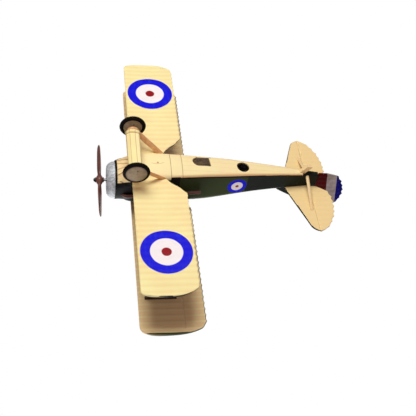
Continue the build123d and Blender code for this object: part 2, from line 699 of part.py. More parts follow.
def make_windscreen():
    """Small clear screen in front of the cockpit, leaning back."""
    lean = Plane(origin=(-40.6, 0, 9.0), x_dir=(0, 1, 0), z_dir=(1, 0, 0.55))
    edges = [
        Line((-3.0, 0), (3.0, 0)),
        Line((3.0, 0), (2.6, 3.0)),
        ThreePointArc((2.6, 3.0), (0, 4.4), (-2.6, 3.0)),
        Line((-2.6, 3.0), (-3.0, 0)),
    ]
    pane = extrude(lean * make_face(edges), amount=0.4)
    return solid_only(pane - FORM)


def make_gun(upper_wing):
    """Fixed dummy gun on the deck ahead of the pilot: jacket, muzzle and breech block."""
    y, z = 1.6, 10.05
    gun = rod((-14.5, y, z), (-27.5, y, z), 0.75)
    gun += rod((-13.2, y, z), (-14.5, y, z), 0.42)
    gun += slab(-35.8, -27.5, y - 0.75, y + 0.75, z - 0.9, z + 0.95)
    return solid_only(gun - FORM - upper_wing)


def make_filler_cap():
    """Radiator filler cap on top of the cowl."""
    cap = rod((-10.5, 0, 8.5), (-10.5, 0, 10.9), 0.9) + rod((-10.5, 0, 10.9), (-10.5, 0, 11.2), 0.6)
    return solid_only(cap - FORM)


# ---------------------------------------------------------------- belly fittings
FRONT_SCREW_X = -28.3
PLUG_RADIUS = 1.2
GRILLE_Y = 1.9


def socket_floor():
    return interpolate(SOCKET_X, 2) + SOCKET_DEPTH


def make_stand_socket():
    """Cup in the belly that takes a display stand's round peg, with a counterbored screw hole in its floor."""
    belly = interpolate(SOCKET_X, 2)
    outer = rod((SOCKET_X, 0, belly - 0.3), (SOCKET_X, 0, socket_floor() + 1.2), SOCKET_RADIUS + 0.55) & FORM
    cup = outer - rod((SOCKET_X, 0, belly - 2), (SOCKET_X, 0, socket_floor()), SOCKET_RADIUS)
    cup -= rod((SOCKET_X, 0, -12), (SOCKET_X, 0, socket_floor() + 0.65), 1.4)
    return solid_only(cup - rod((SOCKET_X, 0, -12), (SOCKET_X, 0, 0), 0.6))


def grille_outline(margin):
    """D shape of the belly vent: round at the front, straight at the back."""
    y, half, front, back = GRILLE_Y, 3.2 - margin, -45.8 - margin, -55.0 + margin
    turn = front - half
    return make_face([
        Line((back, y - half), (turn, y - half)),
        ThreePointArc((turn, y - half), (front, y), (turn, y + half)),
        Line((turn, y + half), (back + 0.4, y + half)),
        Line((back + 0.4, y + half), (back, y - half)),
    ])


def grille_prism(margin, low, high):
    return Pos(0, 0, low) * extrude(grille_outline(margin), amount=high - low)


def make_belly_grille():
    """Recessed gauze vent plate let into the belly pan."""
    return solid_only(grille_prism(0.0, -9.85, -9.25))


def make_belly_pan():
    """Belly cover behind the wing, with the vent's window and the hole for the stand socket."""
    pan = SHELL & BELLY_ZONE
    pan -= grille_prism(0.0, -12, -8)
    pan -= rod((SOCKET_X, 0, -12), (SOCKET_X, 0, -2), SOCKET_RADIUS + 0.55)
    groove = slab(-40.45, -40.2, -20, 20, -20, 20) & (body_form(0.5) - body_form(-0.2))
    return solid_only(pan - groove)


def make_fuselage_shell(tailplane):
    """Sides and deck from the cockpit to the sternpost, with the rear screw boss and one rudder knuckle."""
    shell = SHELL & slab(-120, COWL_END, -20, 20, -20, 20)
    shell = shell - CENTRE_ZONE - BELLY_ZONE - cockpit_hole(0.0)
    boss = rod((SOCKET_X, 0, socket_floor() + 1.2), (SOCKET_X, 0, 9), 1.9) & body_form(-0.4)
    shell += boss
    shell -= rod((SOCKET_X, 0, -6), (SOCKET_X, 0, 3), 0.45)
    shell += upright_knuckles(RUDDER_KNUCKLES[:1], PIN_RADIUS)
    seat = slab(-112.4, -94.0, -6, 6, TAIL_MID - TAIL_THICK / 2, 9)
    around_tube = rod((ELEVATOR_HINGE, -3, TAIL_MID), (ELEVATOR_HINGE, 3, TAIL_MID), PIN_RADIUS + 0.1)
    return solid_only(shell - seat - tailplane - around_tube)


def screw(x, head_z, tip_z, head_radius):
    """Slotted screw pointing up from its head."""
    piece = rod((x, 0, head_z), (x, 0, head_z + 0.6), head_radius) + rod((x, 0, head_z + 0.6), (x, 0, tip_z), 0.45)
    return piece - slab(x - 2, x + 2, -0.15, 0.15, head_z - 1, head_z + 0.25)


def make_screws():
    """The two screws that hold the wing and the belly pan to the castings above."""
    rear = screw(SOCKET_X, socket_floor() + 0.05, socket_floor() + 6.0, 1.3)
    front_head = LOWER_BOTTOM + 0.95
    front = screw(FRONT_SCREW_X, front_head - 0.6, front_head + 5.5, 1.0)
    return rear + front


def make_belly_plug():
    """Cap over the front screw."""
    head = LOWER_BOTTOM + 0.35
    dome = rod((FRONT_SCREW_X, 0, LOWER_BOTTOM - 0.15), (FRONT_SCREW_X, 0, head), PLUG_RADIUS)
    return dome - rod((FRONT_SCREW_X, 0, LOWER_BOTTOM - 0.5), (FRONT_SCREW_X, 0, LOWER_BOTTOM + 0.1), 0.35)


# ---------------------------------------------------------------- assembly
def build_all():
    """Every node's shape in flying axes, by name."""
    lower_wing = make_lower_wing()
    upper_wing, aileron, aileron_pin = make_upper_wing()
    tailplane, elevator, elevator_tube = make_tailplane()
    rudder, rudder_pin = make_rudder()
    nodes = {
        "lower_wing": lower_wing,
        "upper_wing": upper_wing,
        "tailplane": tailplane,
        "elevator_torque_tube": elevator_tube,
        "fin": make_fin(tailplane),
        "rudder": rudder,
        "rudder_hinge_pin": rudder_pin,
        "tail_skid": make_skid(),
        "fuselage_shell": make_fuselage_shell(tailplane),
        "belly_pan": make_belly_pan(),
        "belly_vent": make_belly_grille(),
        "belly_plug": make_belly_plug(),
        "stand_socket": make_stand_socket(),
        "assembly_screws": make_screws(),
        "nose_cowl": make_nose_cowl(),
        "chin_panel": make_chin_panel(),
        "radiator_ring": make_radiator_ring(),
        "radiator_core": make_radiator_core(),
        "radiator_shutters": make_shutters(),
        "shaft_bearing": make_bearing(),
        "filler_cap": make_filler_cap(),
        "propeller": make_propeller(),
        "hub_plates": make_hub_plates(),
        "propeller_nut": make_prop_nut(),
        "propeller_shaft": make_prop_shaft(),
        "shaft_collar": make_shaft_collar(),
        "axle": make_axle(),
        "axle_fairing": make_axle_fairing(),
        "axle_clips": make_axle_clip() + mirrored(make_axle_clip()),
        "cockpit_rim": make_cockpit_rim(),
        "cockpit_tub": make_cockpit_tub(),
        "seat": make_seat(),
        "control_stick": make_stick(),
        "instrument_panel": make_instrument_panel(),
        "instrument_dials": make_dials(),
        "windscreen": make_windscreen(),
        "deck_gun": make_gun(upper_wing),
    }
    cabane = make_cabane(5.2, -20.5, 1.8, upper_wing) + make_cabane(5.2, -33.0, 1.8, upper_wing)
    for name, half in (("cabane_struts", cabane), ("tail_struts", make_tail_strut(tailplane))):
        nodes[name] = half + mirrored(half)
    port = {
        "aileron": aileron,
        "aileron_hinge_pin": aileron_pin,
        "elevator": elevator,
        "outer_struts": make_strut_pair(OUTER_STRUT_Y, 2.2, 1.0, lower_wing, upper_wing),
        "inner_struts": make_strut_pair(INNER_STRUT_Y, 1.6, 0.8, lower_wing, upper_wing),
        "exhaust_pipe": make_exhaust(),
        "gear_leg": make_gear_leg(lower_wing),
        "wheel_core": make_wheel_core(),
        "wheel_cover": make_wheel_cover(),
        "tyre": make_tyre(),
    }
    for name, shape in port.items():
        nodes[name + "_left"] = shape
        nodes[name + "_right"] = mirrored(shape)
    return nodes


def ground_placing(nodes):
    """Where the hub goes when the model stands on the table, centred over its footprint."""
    pitch = Rot(0, -GROUND_ANGLE, 0)
    boxes = [(pitch * shape).bounding_box() for shape in nodes.values()]
    low_x, high_x = min(b.min.X for b in boxes), max(b.max.X for b in boxes)
    low_z = min(b.min.Z for b in boxes)
    return Pos(-(low_x + high_x) / 2, 0, -low_z) * pitch


if __name__ == "__main__":
    pieces = build_all()
    placing = ground_placing(pieces)
    os.makedirs("parts", exist_ok=True)
    for node, shape in pieces.items():
        export_step(placing * shape, f"parts/{node}.step")
    hub = placing * Pos(0, 0, 0)
    print(len(pieces), "nodes; propeller hub at", hub.position, "pitched", GROUND_ANGLE, "degrees")
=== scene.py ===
# %% [markdown]
# A biplane collector's model in cast metal and plastic, stood on its wheels and its tail skid. The
# frame brings in every CAD piece where it belongs. Pieces that a casting shows best, such as the
# struts, keep their CAD solid and only get paint; wings, tail, belly, wheels and propeller are
# made again as fine surfaces, because their ribs and edges are what the eye reads first.

# %% Load the frame
import json
import math

import bmesh
import bpy
import numpy as np
from mathutils import Matrix, Vector


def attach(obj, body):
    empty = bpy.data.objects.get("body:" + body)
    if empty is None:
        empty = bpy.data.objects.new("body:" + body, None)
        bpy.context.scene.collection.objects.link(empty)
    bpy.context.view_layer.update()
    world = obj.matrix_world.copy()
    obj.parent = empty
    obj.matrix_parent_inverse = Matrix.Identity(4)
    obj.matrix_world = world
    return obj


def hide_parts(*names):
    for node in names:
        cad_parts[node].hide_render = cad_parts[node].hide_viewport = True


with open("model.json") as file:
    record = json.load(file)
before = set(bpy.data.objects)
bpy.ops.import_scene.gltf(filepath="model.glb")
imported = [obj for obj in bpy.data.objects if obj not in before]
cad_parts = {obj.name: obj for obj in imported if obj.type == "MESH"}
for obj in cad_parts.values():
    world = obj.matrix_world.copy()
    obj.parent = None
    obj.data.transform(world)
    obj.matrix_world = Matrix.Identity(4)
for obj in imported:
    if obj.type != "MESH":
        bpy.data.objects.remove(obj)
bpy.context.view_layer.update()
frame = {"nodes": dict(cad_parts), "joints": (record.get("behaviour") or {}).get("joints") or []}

# %% [markdown]
# Every shape below is written in flying axes: +X forward along the propeller shaft, +Y to port,
# +Z up, in millimetres from the propeller hub. The model stands nose-up on its skid, so one
# function turns flying points into the frame. It reads the shaft's place and direction from the
# propeller's joint, which keeps the looks and the CAD together.

# %% From flying axes to the frame
JOINTS = {joint["name"]: joint for joint in frame["joints"]}
HUB = np.array(JOINTS["propeller_spin"]["pos_m"])
NOSE = JOINTS["propeller_spin"]["axis"]
PITCH = math.atan2(NOSE[2], NOSE[0])
FLYING = np.array(
    [[math.cos(PITCH), 0, -math.sin(PITCH)], [0, 1, 0], [math.sin(PITCH), 0, math.cos(PITCH)]]
)
MM = 0.001


def place(points):
    """Turns flying millimetres by the standing angle and moves them to the hub, in metres."""
    return np.asarray(points, float) @ FLYING.T * MM + HUB


print("nose-up by", round(math.degrees(PITCH), 2), "degrees; hub at", HUB.round(4))

# %% [markdown]
# The camera looks at the belly from below and to starboard, and is rolled so that the nose points
# left. Its position and axes are given in flying axes and placed like any other point, so the lens
# sees the same perspective however the model stands.

# %% Camera
scene = bpy.context.scene
CAMERA_AT = (12.68, -247.36, -276.27)
CAMERA_RIGHT = np.array((-0.9837, -0.1212, -0.1326))
CAMERA_UP = np.array((-0.0087, 0.7695, -0.6386))
LENS, FILM = 63.65, 36.0

camera = bpy.data.objects.new("camera", bpy.data.cameras.new("camera"))
scene.collection.objects.link(camera)
right = FLYING @ (CAMERA_RIGHT / np.linalg.norm(CAMERA_RIGHT))
back = np.cross(right, FLYING @ CAMERA_UP)
back /= np.linalg.norm(back)
turned = np.eye(4)
turned[:3, 0], turned[:3, 1], turned[:3, 2] = right, np.cross(back, right), back
turned[:3, 3] = place(CAMERA_AT)
camera.matrix_world = Matrix(turned.tolist())
camera.data.lens, camera.data.sensor_width = LENS, FILM
camera.data.clip_start, camera.data.clip_end = 0.01, 10
scene.camera = camera
scene.view_settings.view_transform = "Standard"
print("camera at", [round(v, 3) for v in camera.location])

# %% [markdown]
# A material is a small graph of nodes. It could be wired by hand, one node and link at a time, but
# the sums would be lost among the links. The first class below wraps one socket, so that shader
# maths reads like arithmetic: a + b on two values adds a Math node. The second makes every other
# node from its type, its settings and its inputs; a net is such a graph for one material.

# %% Shader maths
class Value:
    """One socket of a net, with the operators that add Math nodes."""

    def __init__(self, net, socket):
        self.net, self.socket = net, socket

    def math(self, operation, *others, clamp=False):
        """A Math node on this value and the others, in order."""
        settings = {"operation": operation, "use_clamp": clamp}
        return self.net.node("ShaderNodeMath", settings, dict(enumerate((self, *others))))

    def __add__(self, other):
        return self.math("ADD", other)

    def __sub__(self, other):
        return self.math("SUBTRACT", other)

    def __mul__(self, other):
        return self.math("MULTIPLY", other)

    def __rsub__(self, other):
        return (self * -1) + other

    __radd__, __rmul__ = __add__, __mul__

    def __abs__(self):
        return self.math("ABSOLUTE")

    def above(self, edge, soft=0.05):
        """0 below the edge and 1 above it, with a soft step as wide as the edge of a paint mask."""
        return ((self - (edge - soft)) * (0.5 / soft)).math("ADD", 0.0, clamp=True)

    def within(self, low, high, soft=0.05):
        """1 between two limits."""
        return self.above(low, soft) * (1 - self.above(high, soft))

    def either(self, other):
        """The larger of two masks, so that either one shows."""
        return self.math("MAXIMUM", other)


class Graph:
    """A node tree and the one method that adds nodes to it."""

    def __init__(self, tree):
        self.tree = tree

    def node(self, kind, settings, inputs, output=0):
        """Adds a node; settings first, then the values or links of its inputs."""
        made = self.tree.nodes.new(kind)
        for key, setting in settings.items():
            setattr(made, key, setting)
        for key, given in inputs.items():
            self.feed(made.inputs[key], given)
        return Value(self, made.outputs[output])

    def feed(self, socket, given):
        """Links a value to a socket, or sets the socket to a number, a vector or a colour."""
        if isinstance(given, Value):
            self.tree.links.new(given.socket, socket)
        elif hasattr(given, "__len__") and len(given) == 3 and socket.type == "RGBA":
            socket.default_value = (*given, 1)
        else:
            socket.default_value = given


class Net(Graph):
    """A material's graph, with flying coordinates in millimetres ready as x, y and z."""

    def __init__(self, name):
        self.material = bpy.data.materials.new(name)
        self.material.use_nodes = True
        super().__init__(self.material.node_tree)
        self.shader = self.tree.nodes["Principled BSDF"]
        origin = -(FLYING.T @ HUB) / MM
        object_place = self.node("ShaderNodeTexCoord", {}, {}, "Object")
        self.point = self.node("ShaderNodeMapping", {"vector_type": "POINT"}, {
            "Vector": object_place, "Scale": (1 / MM,) * 3, "Rotation": (0, PITCH, 0), "Location": origin,
        })
        self.x, self.y, self.z = (
            self.node("ShaderNodeSeparateXYZ", {}, {"Vector": self.point}, axis) for axis in "XYZ"
        )

    def noise(self, size, detail=3.0, stretch=(1, 1, 1)):
        """Smooth noise from 0 to 1 whose lumps are about size millimetres across."""
        scaled = self.node("ShaderNodeMapping", {}, {"Vector": self.point, "Scale": stretch})
        inputs = {"Vector": scaled, "Scale": 1 / size, "Detail": detail, "Roughness": 0.55}
        return self.node("ShaderNodeTexNoise", {}, inputs, "Fac")

    def mix(self, share, a, b):
        """Colour a where share is 0 and b where it is 1."""
        inputs = {"Factor": share, 6: a, 7: b}
        return self.node("ShaderNodeMix", {"data_type": "RGBA"}, inputs, 2)

    def bump(self, height, depth, distance=0.05):
        """A normal tilted by the slope of height; distance is in millimetres."""
        inputs = {"Height": height, "Strength": depth, "Distance": distance * MM}
        return self.node("ShaderNodeBump", {}, inputs, "Normal")

    def finish(self, **sockets):
        """Feeds the shader's own sockets, named with underscores for spaces."""
        for key, given in sockets.items():
            self.feed(self.shader.inputs[key.replace("_", " ")], given)
        return self.material


def linear(*rgb):
    """A paint colour given as 0-255 screen values, as the linear light that a shader takes."""
    scaled = np.array(rgb) / 255
    return tuple(np.where(scaled <= 0.04045, scaled / 12.92, ((scaled + 0.055) / 1.055) ** 2.4))


print("screen value 128 is", round(float(linear(128)[0]), 3), "of full light")

# %% [markdown]
# Paint on a small model is sprayed or printed: nearly even, with a faint orange-peel and a little
# handling polish. Paler bands on the ribs and darker ones between them, and a peach tint towards the
# wing roots, are painted highlight and painted shade. Cream, the camouflage colours and the roundels
# are all one recipe with different masks, because the real ones are sprayed over each other in that
# order.

# %% Paint colours and shared recipes
CREAM = linear(252, 246, 178)
CREAM_WARM = linear(250, 220, 158)
# The brown below is painted shade, used in the hinge groove and round the fairing's edges.
SHADE_BROWN = linear(128, 82, 44)
BLACK = linear(11, 10, 12)
GREEN = linear(50, 66, 26)
DARK_GREEN = linear(22, 31, 24)
BLUE = linear(8, 3, 226)
WHITE = linear(250, 248, 249)
RED = linear(150, 8, 26)
RIB_PITCH = 3.3
ROUNDEL_X, ROUNDEL_Y, ROUNDEL_RADIUS = -28.2, 52.85, 12.0
# Half the width of the painted shade in the hinge groove.
HINGE_SHADE_HALF_WIDTH = 0.1


def cream_paint(net):
    """Cream that drifts a little warmer in broad patches."""
    return net.mix(net.noise(16, 2.0).above(0.52, 0.22) * 0.55, CREAM, CREAM_WARM)


def roundel(net, colour, across, up, radius, white=0.625, red=0.195):
    """Three rings of paint by distance from a centre; across and up are distances from it."""
    reach = (across * across + up * up).math("SQRT")
    streaks = net.noise(1.6, 2.0, (1, 0.25, 1))
    blue = net.mix(streaks.above(0.6, 0.12) * 0.35, BLUE, linear(30, 60, 230))
    ringed = net.mix(1 - reach.above(radius, 0.12), colour, blue)
    ringed = net.mix(1 - reach.above(radius * white, 0.1), ringed, WHITE)
    return net.mix(1 - reach.above(radius * red, 0.1), ringed, RED)


def camouflage(net):
    """Dark green with near-black and black patches whose borders wander across the upper side."""
    wander = net.noise(24, 1.0)
    patchy = net.mix((wander + net.noise(60, 1.0) * 0.6).above(0.80, 0.012), GREEN, DARK_GREEN)
    return net.mix((net.noise(38, 1.0, (1, 0.8, 1))).above(0.60, 0.01), patchy, BLACK)


def painted(net, colour, rough, peel=0.25, shine=0.2):
    """Sprayed satin paint: an orange-peel bump and a polish that varies about rough."""
    grain = net.noise(0.5, 2.0) + net.noise(5, 2.0) * 0.6
    polish = net.noise(7, 3.0) * 0.16 + (rough - 0.08)
    return net.finish(
        Base_Color=colour, Roughness=polish, Normal=net.bump(grain, peel, 0.02),
        Specular_IOR_Level=shine,
    )


def wing_paint(name, roundel_y=None, hinge=None, ribs=0.3, warm=0.0, tone=CREAM_WARM):
    """Cream underside and camouflage above, parted by each surface's side attribute.

    Roundels sit at roundel_y on both sides. The hinge groove gets a thin dark line of painted shade.
    Cream turns to tone towards the root as painted shade, and by warm everywhere, which on the upper
    wing's underside is painted shade too. The ribs argument sets the painted highlight on rib crests
    and the painted shade between them.
    """
    net = Net(name)
    side = net.node("ShaderNodeAttribute", {"attribute_name": "upper"}, {}, "Fac")
    rib = (net.y * (2 * math.pi / RIB_PITCH)).math("COSINE")
    # Painted shade: the cream turns to tone towards the root.
    root_shade = 1 - abs(net.y).above(24, 22)
    under = net.mix((root_shade * 0.55).either(warm), cream_paint(net), tone)
    # Painted highlight on each rib's crest and painted shade in the sag between ribs, as strong as ribs
    # says.
    under = net.mix(rib.above(0.6, 0.35) * ribs, under, linear(255, 250, 188))
    under = net.mix((rib * -1).above(0.55, 0.4) * ribs, under, linear(245, 218, 150))
    if roundel_y:
        under = roundel(net, under, net.x - ROUNDEL_X, abs(net.y) - roundel_y, ROUNDEL_RADIUS)
    if hinge:
        # Painted shade: a thin dark line in the hinge groove.
        hinge_shade = net.x.within(hinge - HINGE_SHADE_HALF_WIDTH, hinge + HINGE_SHADE_HALF_WIDTH, 0.06)
        under = net.mix(hinge_shade * 0.3, under, SHADE_BROWN)
    colour = net.mix(side.above(0.5, 0.02), under, camouflage(net))
    return painted(net, colour, 0.58)


WING_LOWER = wing_paint("wing_paint_lower", ROUNDEL_Y)
# The upper wing's underside stands in the lower wing's shade: warm and tone paint that shade into its cream.
WING_UPPER = wing_paint("wing_paint_upper", warm=0.75, tone=linear(238, 204, 152))
print("wing paints ready")

# %% [markdown]
# A piece is made from points in flying millimetres and faces by index. Coincident points are
# merged first, then the normals are turned outwards, and edges sharper than a chosen angle stay
# crisp while the rest is shaded smooth. Doing this in one helper keeps every piece closed.

# %% Making a piece
def grid_faces(rows, columns, ring=True):
    """Quads between neighbouring points of a grid; a ring also joins its last column to its first."""
    wide = columns if ring else columns - 1
    row, column = np.meshgrid(np.arange(rows - 1), np.arange(wide), indexing="ij")
    after = (column + 1) % columns
    a, b = row * columns, (row + 1) * columns
    return np.stack([a + column, a + after, b + after, b + column], -1).reshape(-1, 4).tolist()


CREASE = 38
MERGE = 3e-6


def piece(name, points, faces, body, slot, material, stands_for=(), upper=None, crease=CREASE):
    """A closed mesh in the frame, merged, pointing outwards and riding on its body."""
    mesh = bpy.data.meshes.new(name)
    mesh.from_pydata(place(points).tolist(), [], faces)
    if upper is not None:
        values = mesh.attributes.new("upper", "FLOAT", "POINT")
        values.data.foreach_set("value", np.asarray(upper, np.float32).ravel())
    shaped = bmesh.new()
    shaped.from_mesh(mesh)
    bmesh.ops.remove_doubles(shaped, verts=shaped.verts, dist=MERGE)
    bmesh.ops.recalc_face_normals(shaped, faces=shaped.faces)
    shaped.to_mesh(mesh)
    shaped.free()
    mesh.shade_smooth()
    mesh.set_sharp_from_angle(angle=math.radians(crease))
    mesh.materials.append(material)
    made = bpy.data.objects.new(name, mesh)
    scene.collection.objects.link(made)
    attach(made, body)
    if stands_for:
        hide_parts(*stands_for)
    print(f"{name}: {len(mesh.polygons)} faces")
    return made


def end_cap(rings, last=True):
    """One face over the last ring of a tube, or over its first."""
    count, around = rings.shape[:2]
    start = (count - 1) * around if last else 0
    return [list(range(start, start + around))]


def ringed(rings, name, *rest, **more):
    """A tube through closed rings of points, shaped (rings, points, 3), with both ends closed."""
    faces = grid_faces(*rings.shape[:2]) + end_cap(rings, last=False) + end_cap(rings)
    return piece(name, rings.reshape(-1, 3), faces, *rest, **more)


def joined(parts):
    """Several (points, faces) made one, with each part's indices moved past the last."""
    points, faces, start = [], [], 0
    for some, quads in parts:
        points.append(np.reshape(some, (-1, 3)))
        faces += [[index + start for index in face] for face in quads]
        start += len(points[-1])
    return np.concatenate(points), faces


print("points closer than", MERGE * 1e6, "micrometres are merged")

# %% [markdown]
# A wing of doped fabric over ribs sags between them, so its trailing wire is pulled into a row of
# shallow scallops. The casting copies both. The section is a blunt nose, an arched top and a
# slightly hollow underside; each station across the span carries that section between its own
# front and rear edge, so rounded tips, the cut-out at the root and the aileron bays are only
# different edges. Cosine spacing puts more points near the edges, where the curve is tight.

# %% The wing section and the sag
WING_THICK = 2.1
SAG = 0.16
TIP_WRAP = 2.2


def section_heights(share):
    """Top and bottom of the wing section at each share of the chord, in millimetres."""
    rise = np.where(share < 0.3, 0.42 + 0.58 * np.sin(np.pi / 2 * np.clip(share / 0.3, 0, 1)) ** 0.9,
                    1 - 0.72 * ((share - 0.3) / 0.7) ** 2)
    top = WING_THICK * rise
    bottom = 0.05 + 0.26 * np.sin(np.pi * share) ** 2
    return top, bottom


def edge_round(distance, radius):
    """0 at an edge and 1 a radius inside it, along a quarter circle."""
    inside = np.clip(distance / radius, 0, 1)
    return np.sqrt(1 - (1 - inside) ** 2)


def scallops(y, depth=0.42):
    """How far the trailing wire is pulled forward between ribs: a parabola from rib to rib."""
    share = (y / RIB_PITCH) % 1
    return depth * 4 * share * (1 - share)


def sag(y):
    """1 on a rib and 0 midway: the size of a cosine wave, to the power 1.5."""
    return np.abs(np.cos(np.pi * y / RIB_PITCH)) ** 1.5


def wing_surface(y, front, rear, plan, tip, around=26, nose=0.9, tail=0.25, wrap=0.0, in_bay=False):
    """Rings of points and their upper mask. Each ring goes back along the top and forward below.

    Half the thickness at a point is the section's, less the sag, times a quarter-circle rounding
    at the nearer edge. At the tip the top drops a little along a quarter circle, which leaves the
    blunt edge of a casting. Camouflage wraps under the trailing edge by wrap, except in an aileron
    bay, where there is no trailing edge, and under the tip by somewhat more.
    """
    share = (1 - np.cos(np.linspace(0, np.pi, around))) / 2
    x = front[:, None] + (rear - front)[:, None] * share
    span = np.broadcast_to(y[:, None], x.shape)
    chord_share = np.clip((plan["lead"] - x) / plan["chord"], 0, 1)
    top, low = section_heights(chord_share)
    middle, half = (top + low) / 2, (top - low) / 2
    nearer_rear = edge_round(x - rear[:, None], tail)
    rounding = np.where(share < 0.5, edge_round(front[:, None] - x, nose), nearer_rear)
    fabric = SAG * (1 - sag(y))[:, None] * np.sin(np.pi * np.clip(chord_share, 0.02, 1)) ** 0.6
    half = np.maximum(half - fabric, 0.12) * np.maximum(rounding, 0.02)
    blunt = np.clip((tip - np.abs(y)) / 0.8, 0, 1)[:, None]
    upper_z = plan["bottom"] + middle + half * (0.85 + 0.15 * np.sqrt(1 - (1 - blunt) ** 2))
    lower_z = plan["bottom"] + middle - half
    rings = np.concatenate([np.stack([x, span, upper_z], -1), np.stack([x, span, lower_z], -1)[:, ::-1]], 1)
    wire_wrap = np.where(in_bay, 0, wrap) * np.ones(len(y))
    over = (np.abs(y)[:, None] > tip - TIP_WRAP * wrap) | (x - rear[:, None] < wire_wrap[:, None])
    over = over & (wrap > 0)
    mask = np.concatenate([np.ones(x.shape), over[:, ::-1].astype(float)], 1)
    mask[:, 0], mask[:, 2 * around - 1] = 0, 0
    return rings, mask


def stations(start, end, per_rib=8):
    """Places along the span, several to a rib, closing up towards a rounded tip."""
    count = max(8, int(abs(end - start) / RIB_PITCH * per_rib))
    return np.linspace(start, end, count)


def tip_ease(y, start, end, power):
    """0 until start, then rising to 1 at end along a superellipse."""
    t = np.clip((y - start) / (end - start), 0, 1)
    return 1 - (1 - t ** power) ** (1 / power)


def tip_inset(y, span, inset, start, power):
    """How far an edge has moved in at y: inset at the tip, from start, squarer with more power."""
    return inset * tip_ease(np.abs(y), start, span, power)


print("wing is", WING_THICK, "mm thick and sags", SAG, "mm between ribs")

# %% [markdown]
# Each lower wing panel starts inside the belly, so that no joint line shows. Its rear edge is cut
# away at the root and its tip is bowed, further at the back than at the front. It could be a box
# bent by modifiers, but one outline of front and rear edges gives the root and the tip exactly.

# %% Lower wing panels
LOWER = {"lead": -15.1, "chord": 26.4, "bottom": -11.0, "half_span": 76.3}
LOWER_TIP_REAR, LOWER_TIP_FRONT = (14.3, 70.0, 2.3), (11.6, 73.0, 3.3)
ROOT_CUT_Y = (7.0, 8.5, 10.7, 12.9, 14.7, 16.5, 18.6)
ROOT_CUT_X = (-31.2, -31.8, -33.3, -35.6, -38.1, -39.4, -41.5)


def lower_panel(sign):
    """One panel, from inside the belly out to its bowed tip."""
    span = LOWER["half_span"]
    y = np.concatenate([stations(7.2, 70.0), span - 7.0 * (1 - np.sin(np.linspace(0.05, np.pi / 2, 26)))])
    rear_line = LOWER["lead"] - LOWER["chord"] + scallops(y)
    rear = np.where(y < 18.6, np.interp(y, ROOT_CUT_Y, ROOT_CUT_X), rear_line)
    rear = rear + tip_inset(y, span, *LOWER_TIP_REAR)
    front = LOWER["lead"] - tip_inset(y, span, *LOWER_TIP_FRONT)
    rings, mask = wing_surface(y, front, rear, LOWER, span + 0.02, wrap=0.02)
    rings[..., 1] *= sign
    return rings, mask


for sign, name in ((1, "left"), (-1, "right")):
    rings, mask = lower_panel(sign)
    ringed(rings, f"lower_wing_panel_{name}", "airframe", "wing_paint", WING_LOWER,
           stands_for=["lower_wing"], upper=mask)

# %% [markdown]
# The upper wing is one casting with a bay cut for each aileron. Where a bay starts, the rear edge
# jumps from the trailing wire to the hinge line, and two stations at the same place make the bay's
# end wall. The ailerons have a round nose about the hinge, so that they can swing in the bay.

# %% Upper wing and ailerons
UPPER = {"lead": -15.9, "chord": 31.1, "bottom": 12.0, "half_span": 81.8}
UPPER_TIP_REAR, UPPER_TIP_FRONT = (18.2, 74.6, 2.7), (11.9, 76.5, 3.3)
BAY_INNER, BAY_OUTER = 38.0, 78.9
AILERON_HINGE, AILERON_Z, HINGE_GAP, NOSE_RADIUS = -37.3, 12.85, 0.665, 0.64
NOTCH_Y, NOTCH_DEEP = 8.2, 5.6
UPPER_WRAP, AILERON_END_GAP, FAR_TIP = 0.35, 0.06, 200


def upper_rear(y, in_bay):
    """The rear edge: hand-hold notch in the middle, scalloped wire, bays and rounded tips."""
    notch = NOTCH_DEEP * np.sqrt(np.clip(1 - (y / NOTCH_Y) ** 2, 0, 1))
    wire = UPPER["lead"] - UPPER["chord"] + np.where(np.abs(y) < NOTCH_Y, notch, scallops(y))
    wire = wire + tip_inset(y, UPPER["half_span"], *UPPER_TIP_REAR)
    return np.where(in_bay, np.maximum(wire, AILERON_HINGE + HINGE_GAP), wire)


tip_part = UPPER["half_span"] - 2.6 * (1 - np.sin(np.linspace(0, np.pi / 2, 22)))
root_part, bay_part = stations(0, BAY_INNER), stations(BAY_INNER, BAY_OUTER)
half = np.concatenate([root_part, [BAY_INNER], bay_part, [BAY_OUTER], tip_part])
bay = np.zeros(len(half), bool)
bay[len(root_part):len(root_part) + 1 + len(bay_part)] = True
y = np.concatenate([-half[::-1], half[1:]])
in_bay = np.concatenate([bay[::-1], bay[1:]])
front = UPPER["lead"] - tip_inset(y, UPPER["half_span"], *UPPER_TIP_FRONT)
rings, mask = wing_surface(y, front, upper_rear(y, in_bay), UPPER, UPPER["half_span"] + 0.02,
                           tail=0.05, wrap=UPPER_WRAP, in_bay=in_bay)
ringed(rings, "upper_wing_surface", "airframe", "wing_paint", WING_UPPER,
       stands_for=["upper_wing"], upper=mask)


def round_nose(rings, hinge, middle, radius):
    """Ahead of the hinge both skins follow a circle about it; behind, they ease into the section."""
    ahead = rings[..., 0] - hinge
    arc = np.sqrt(np.clip(radius**2 - np.clip(ahead, 0, radius) ** 2, 0, None))
    half = rings.shape[1] // 2
    side = np.where(np.arange(rings.shape[1]) < half, 1, -1)
    ease = np.clip((ahead + 2.5) / 2.5, 0, 1) ** 2
    rings[..., 2] += ease * (middle + side * arc - rings[..., 2])
    return rings


def aileron(sign):
    """A round nose in the bay, then the wing's own section back to the scalloped wire."""
    y = stations(BAY_INNER + AILERON_END_GAP, BAY_OUTER - AILERON_END_GAP)
    wire = upper_rear(y, np.zeros(len(y), bool))
    front = np.full(len(y), AILERON_HINGE + NOSE_RADIUS)
    rings, mask = wing_surface(y, front, wire, UPPER, FAR_TIP, nose=0.01, around=22, wrap=UPPER_WRAP)
    rings = round_nose(rings, AILERON_HINGE, AILERON_Z, NOSE_RADIUS)
    rings[..., 1] *= sign
    return rings, mask


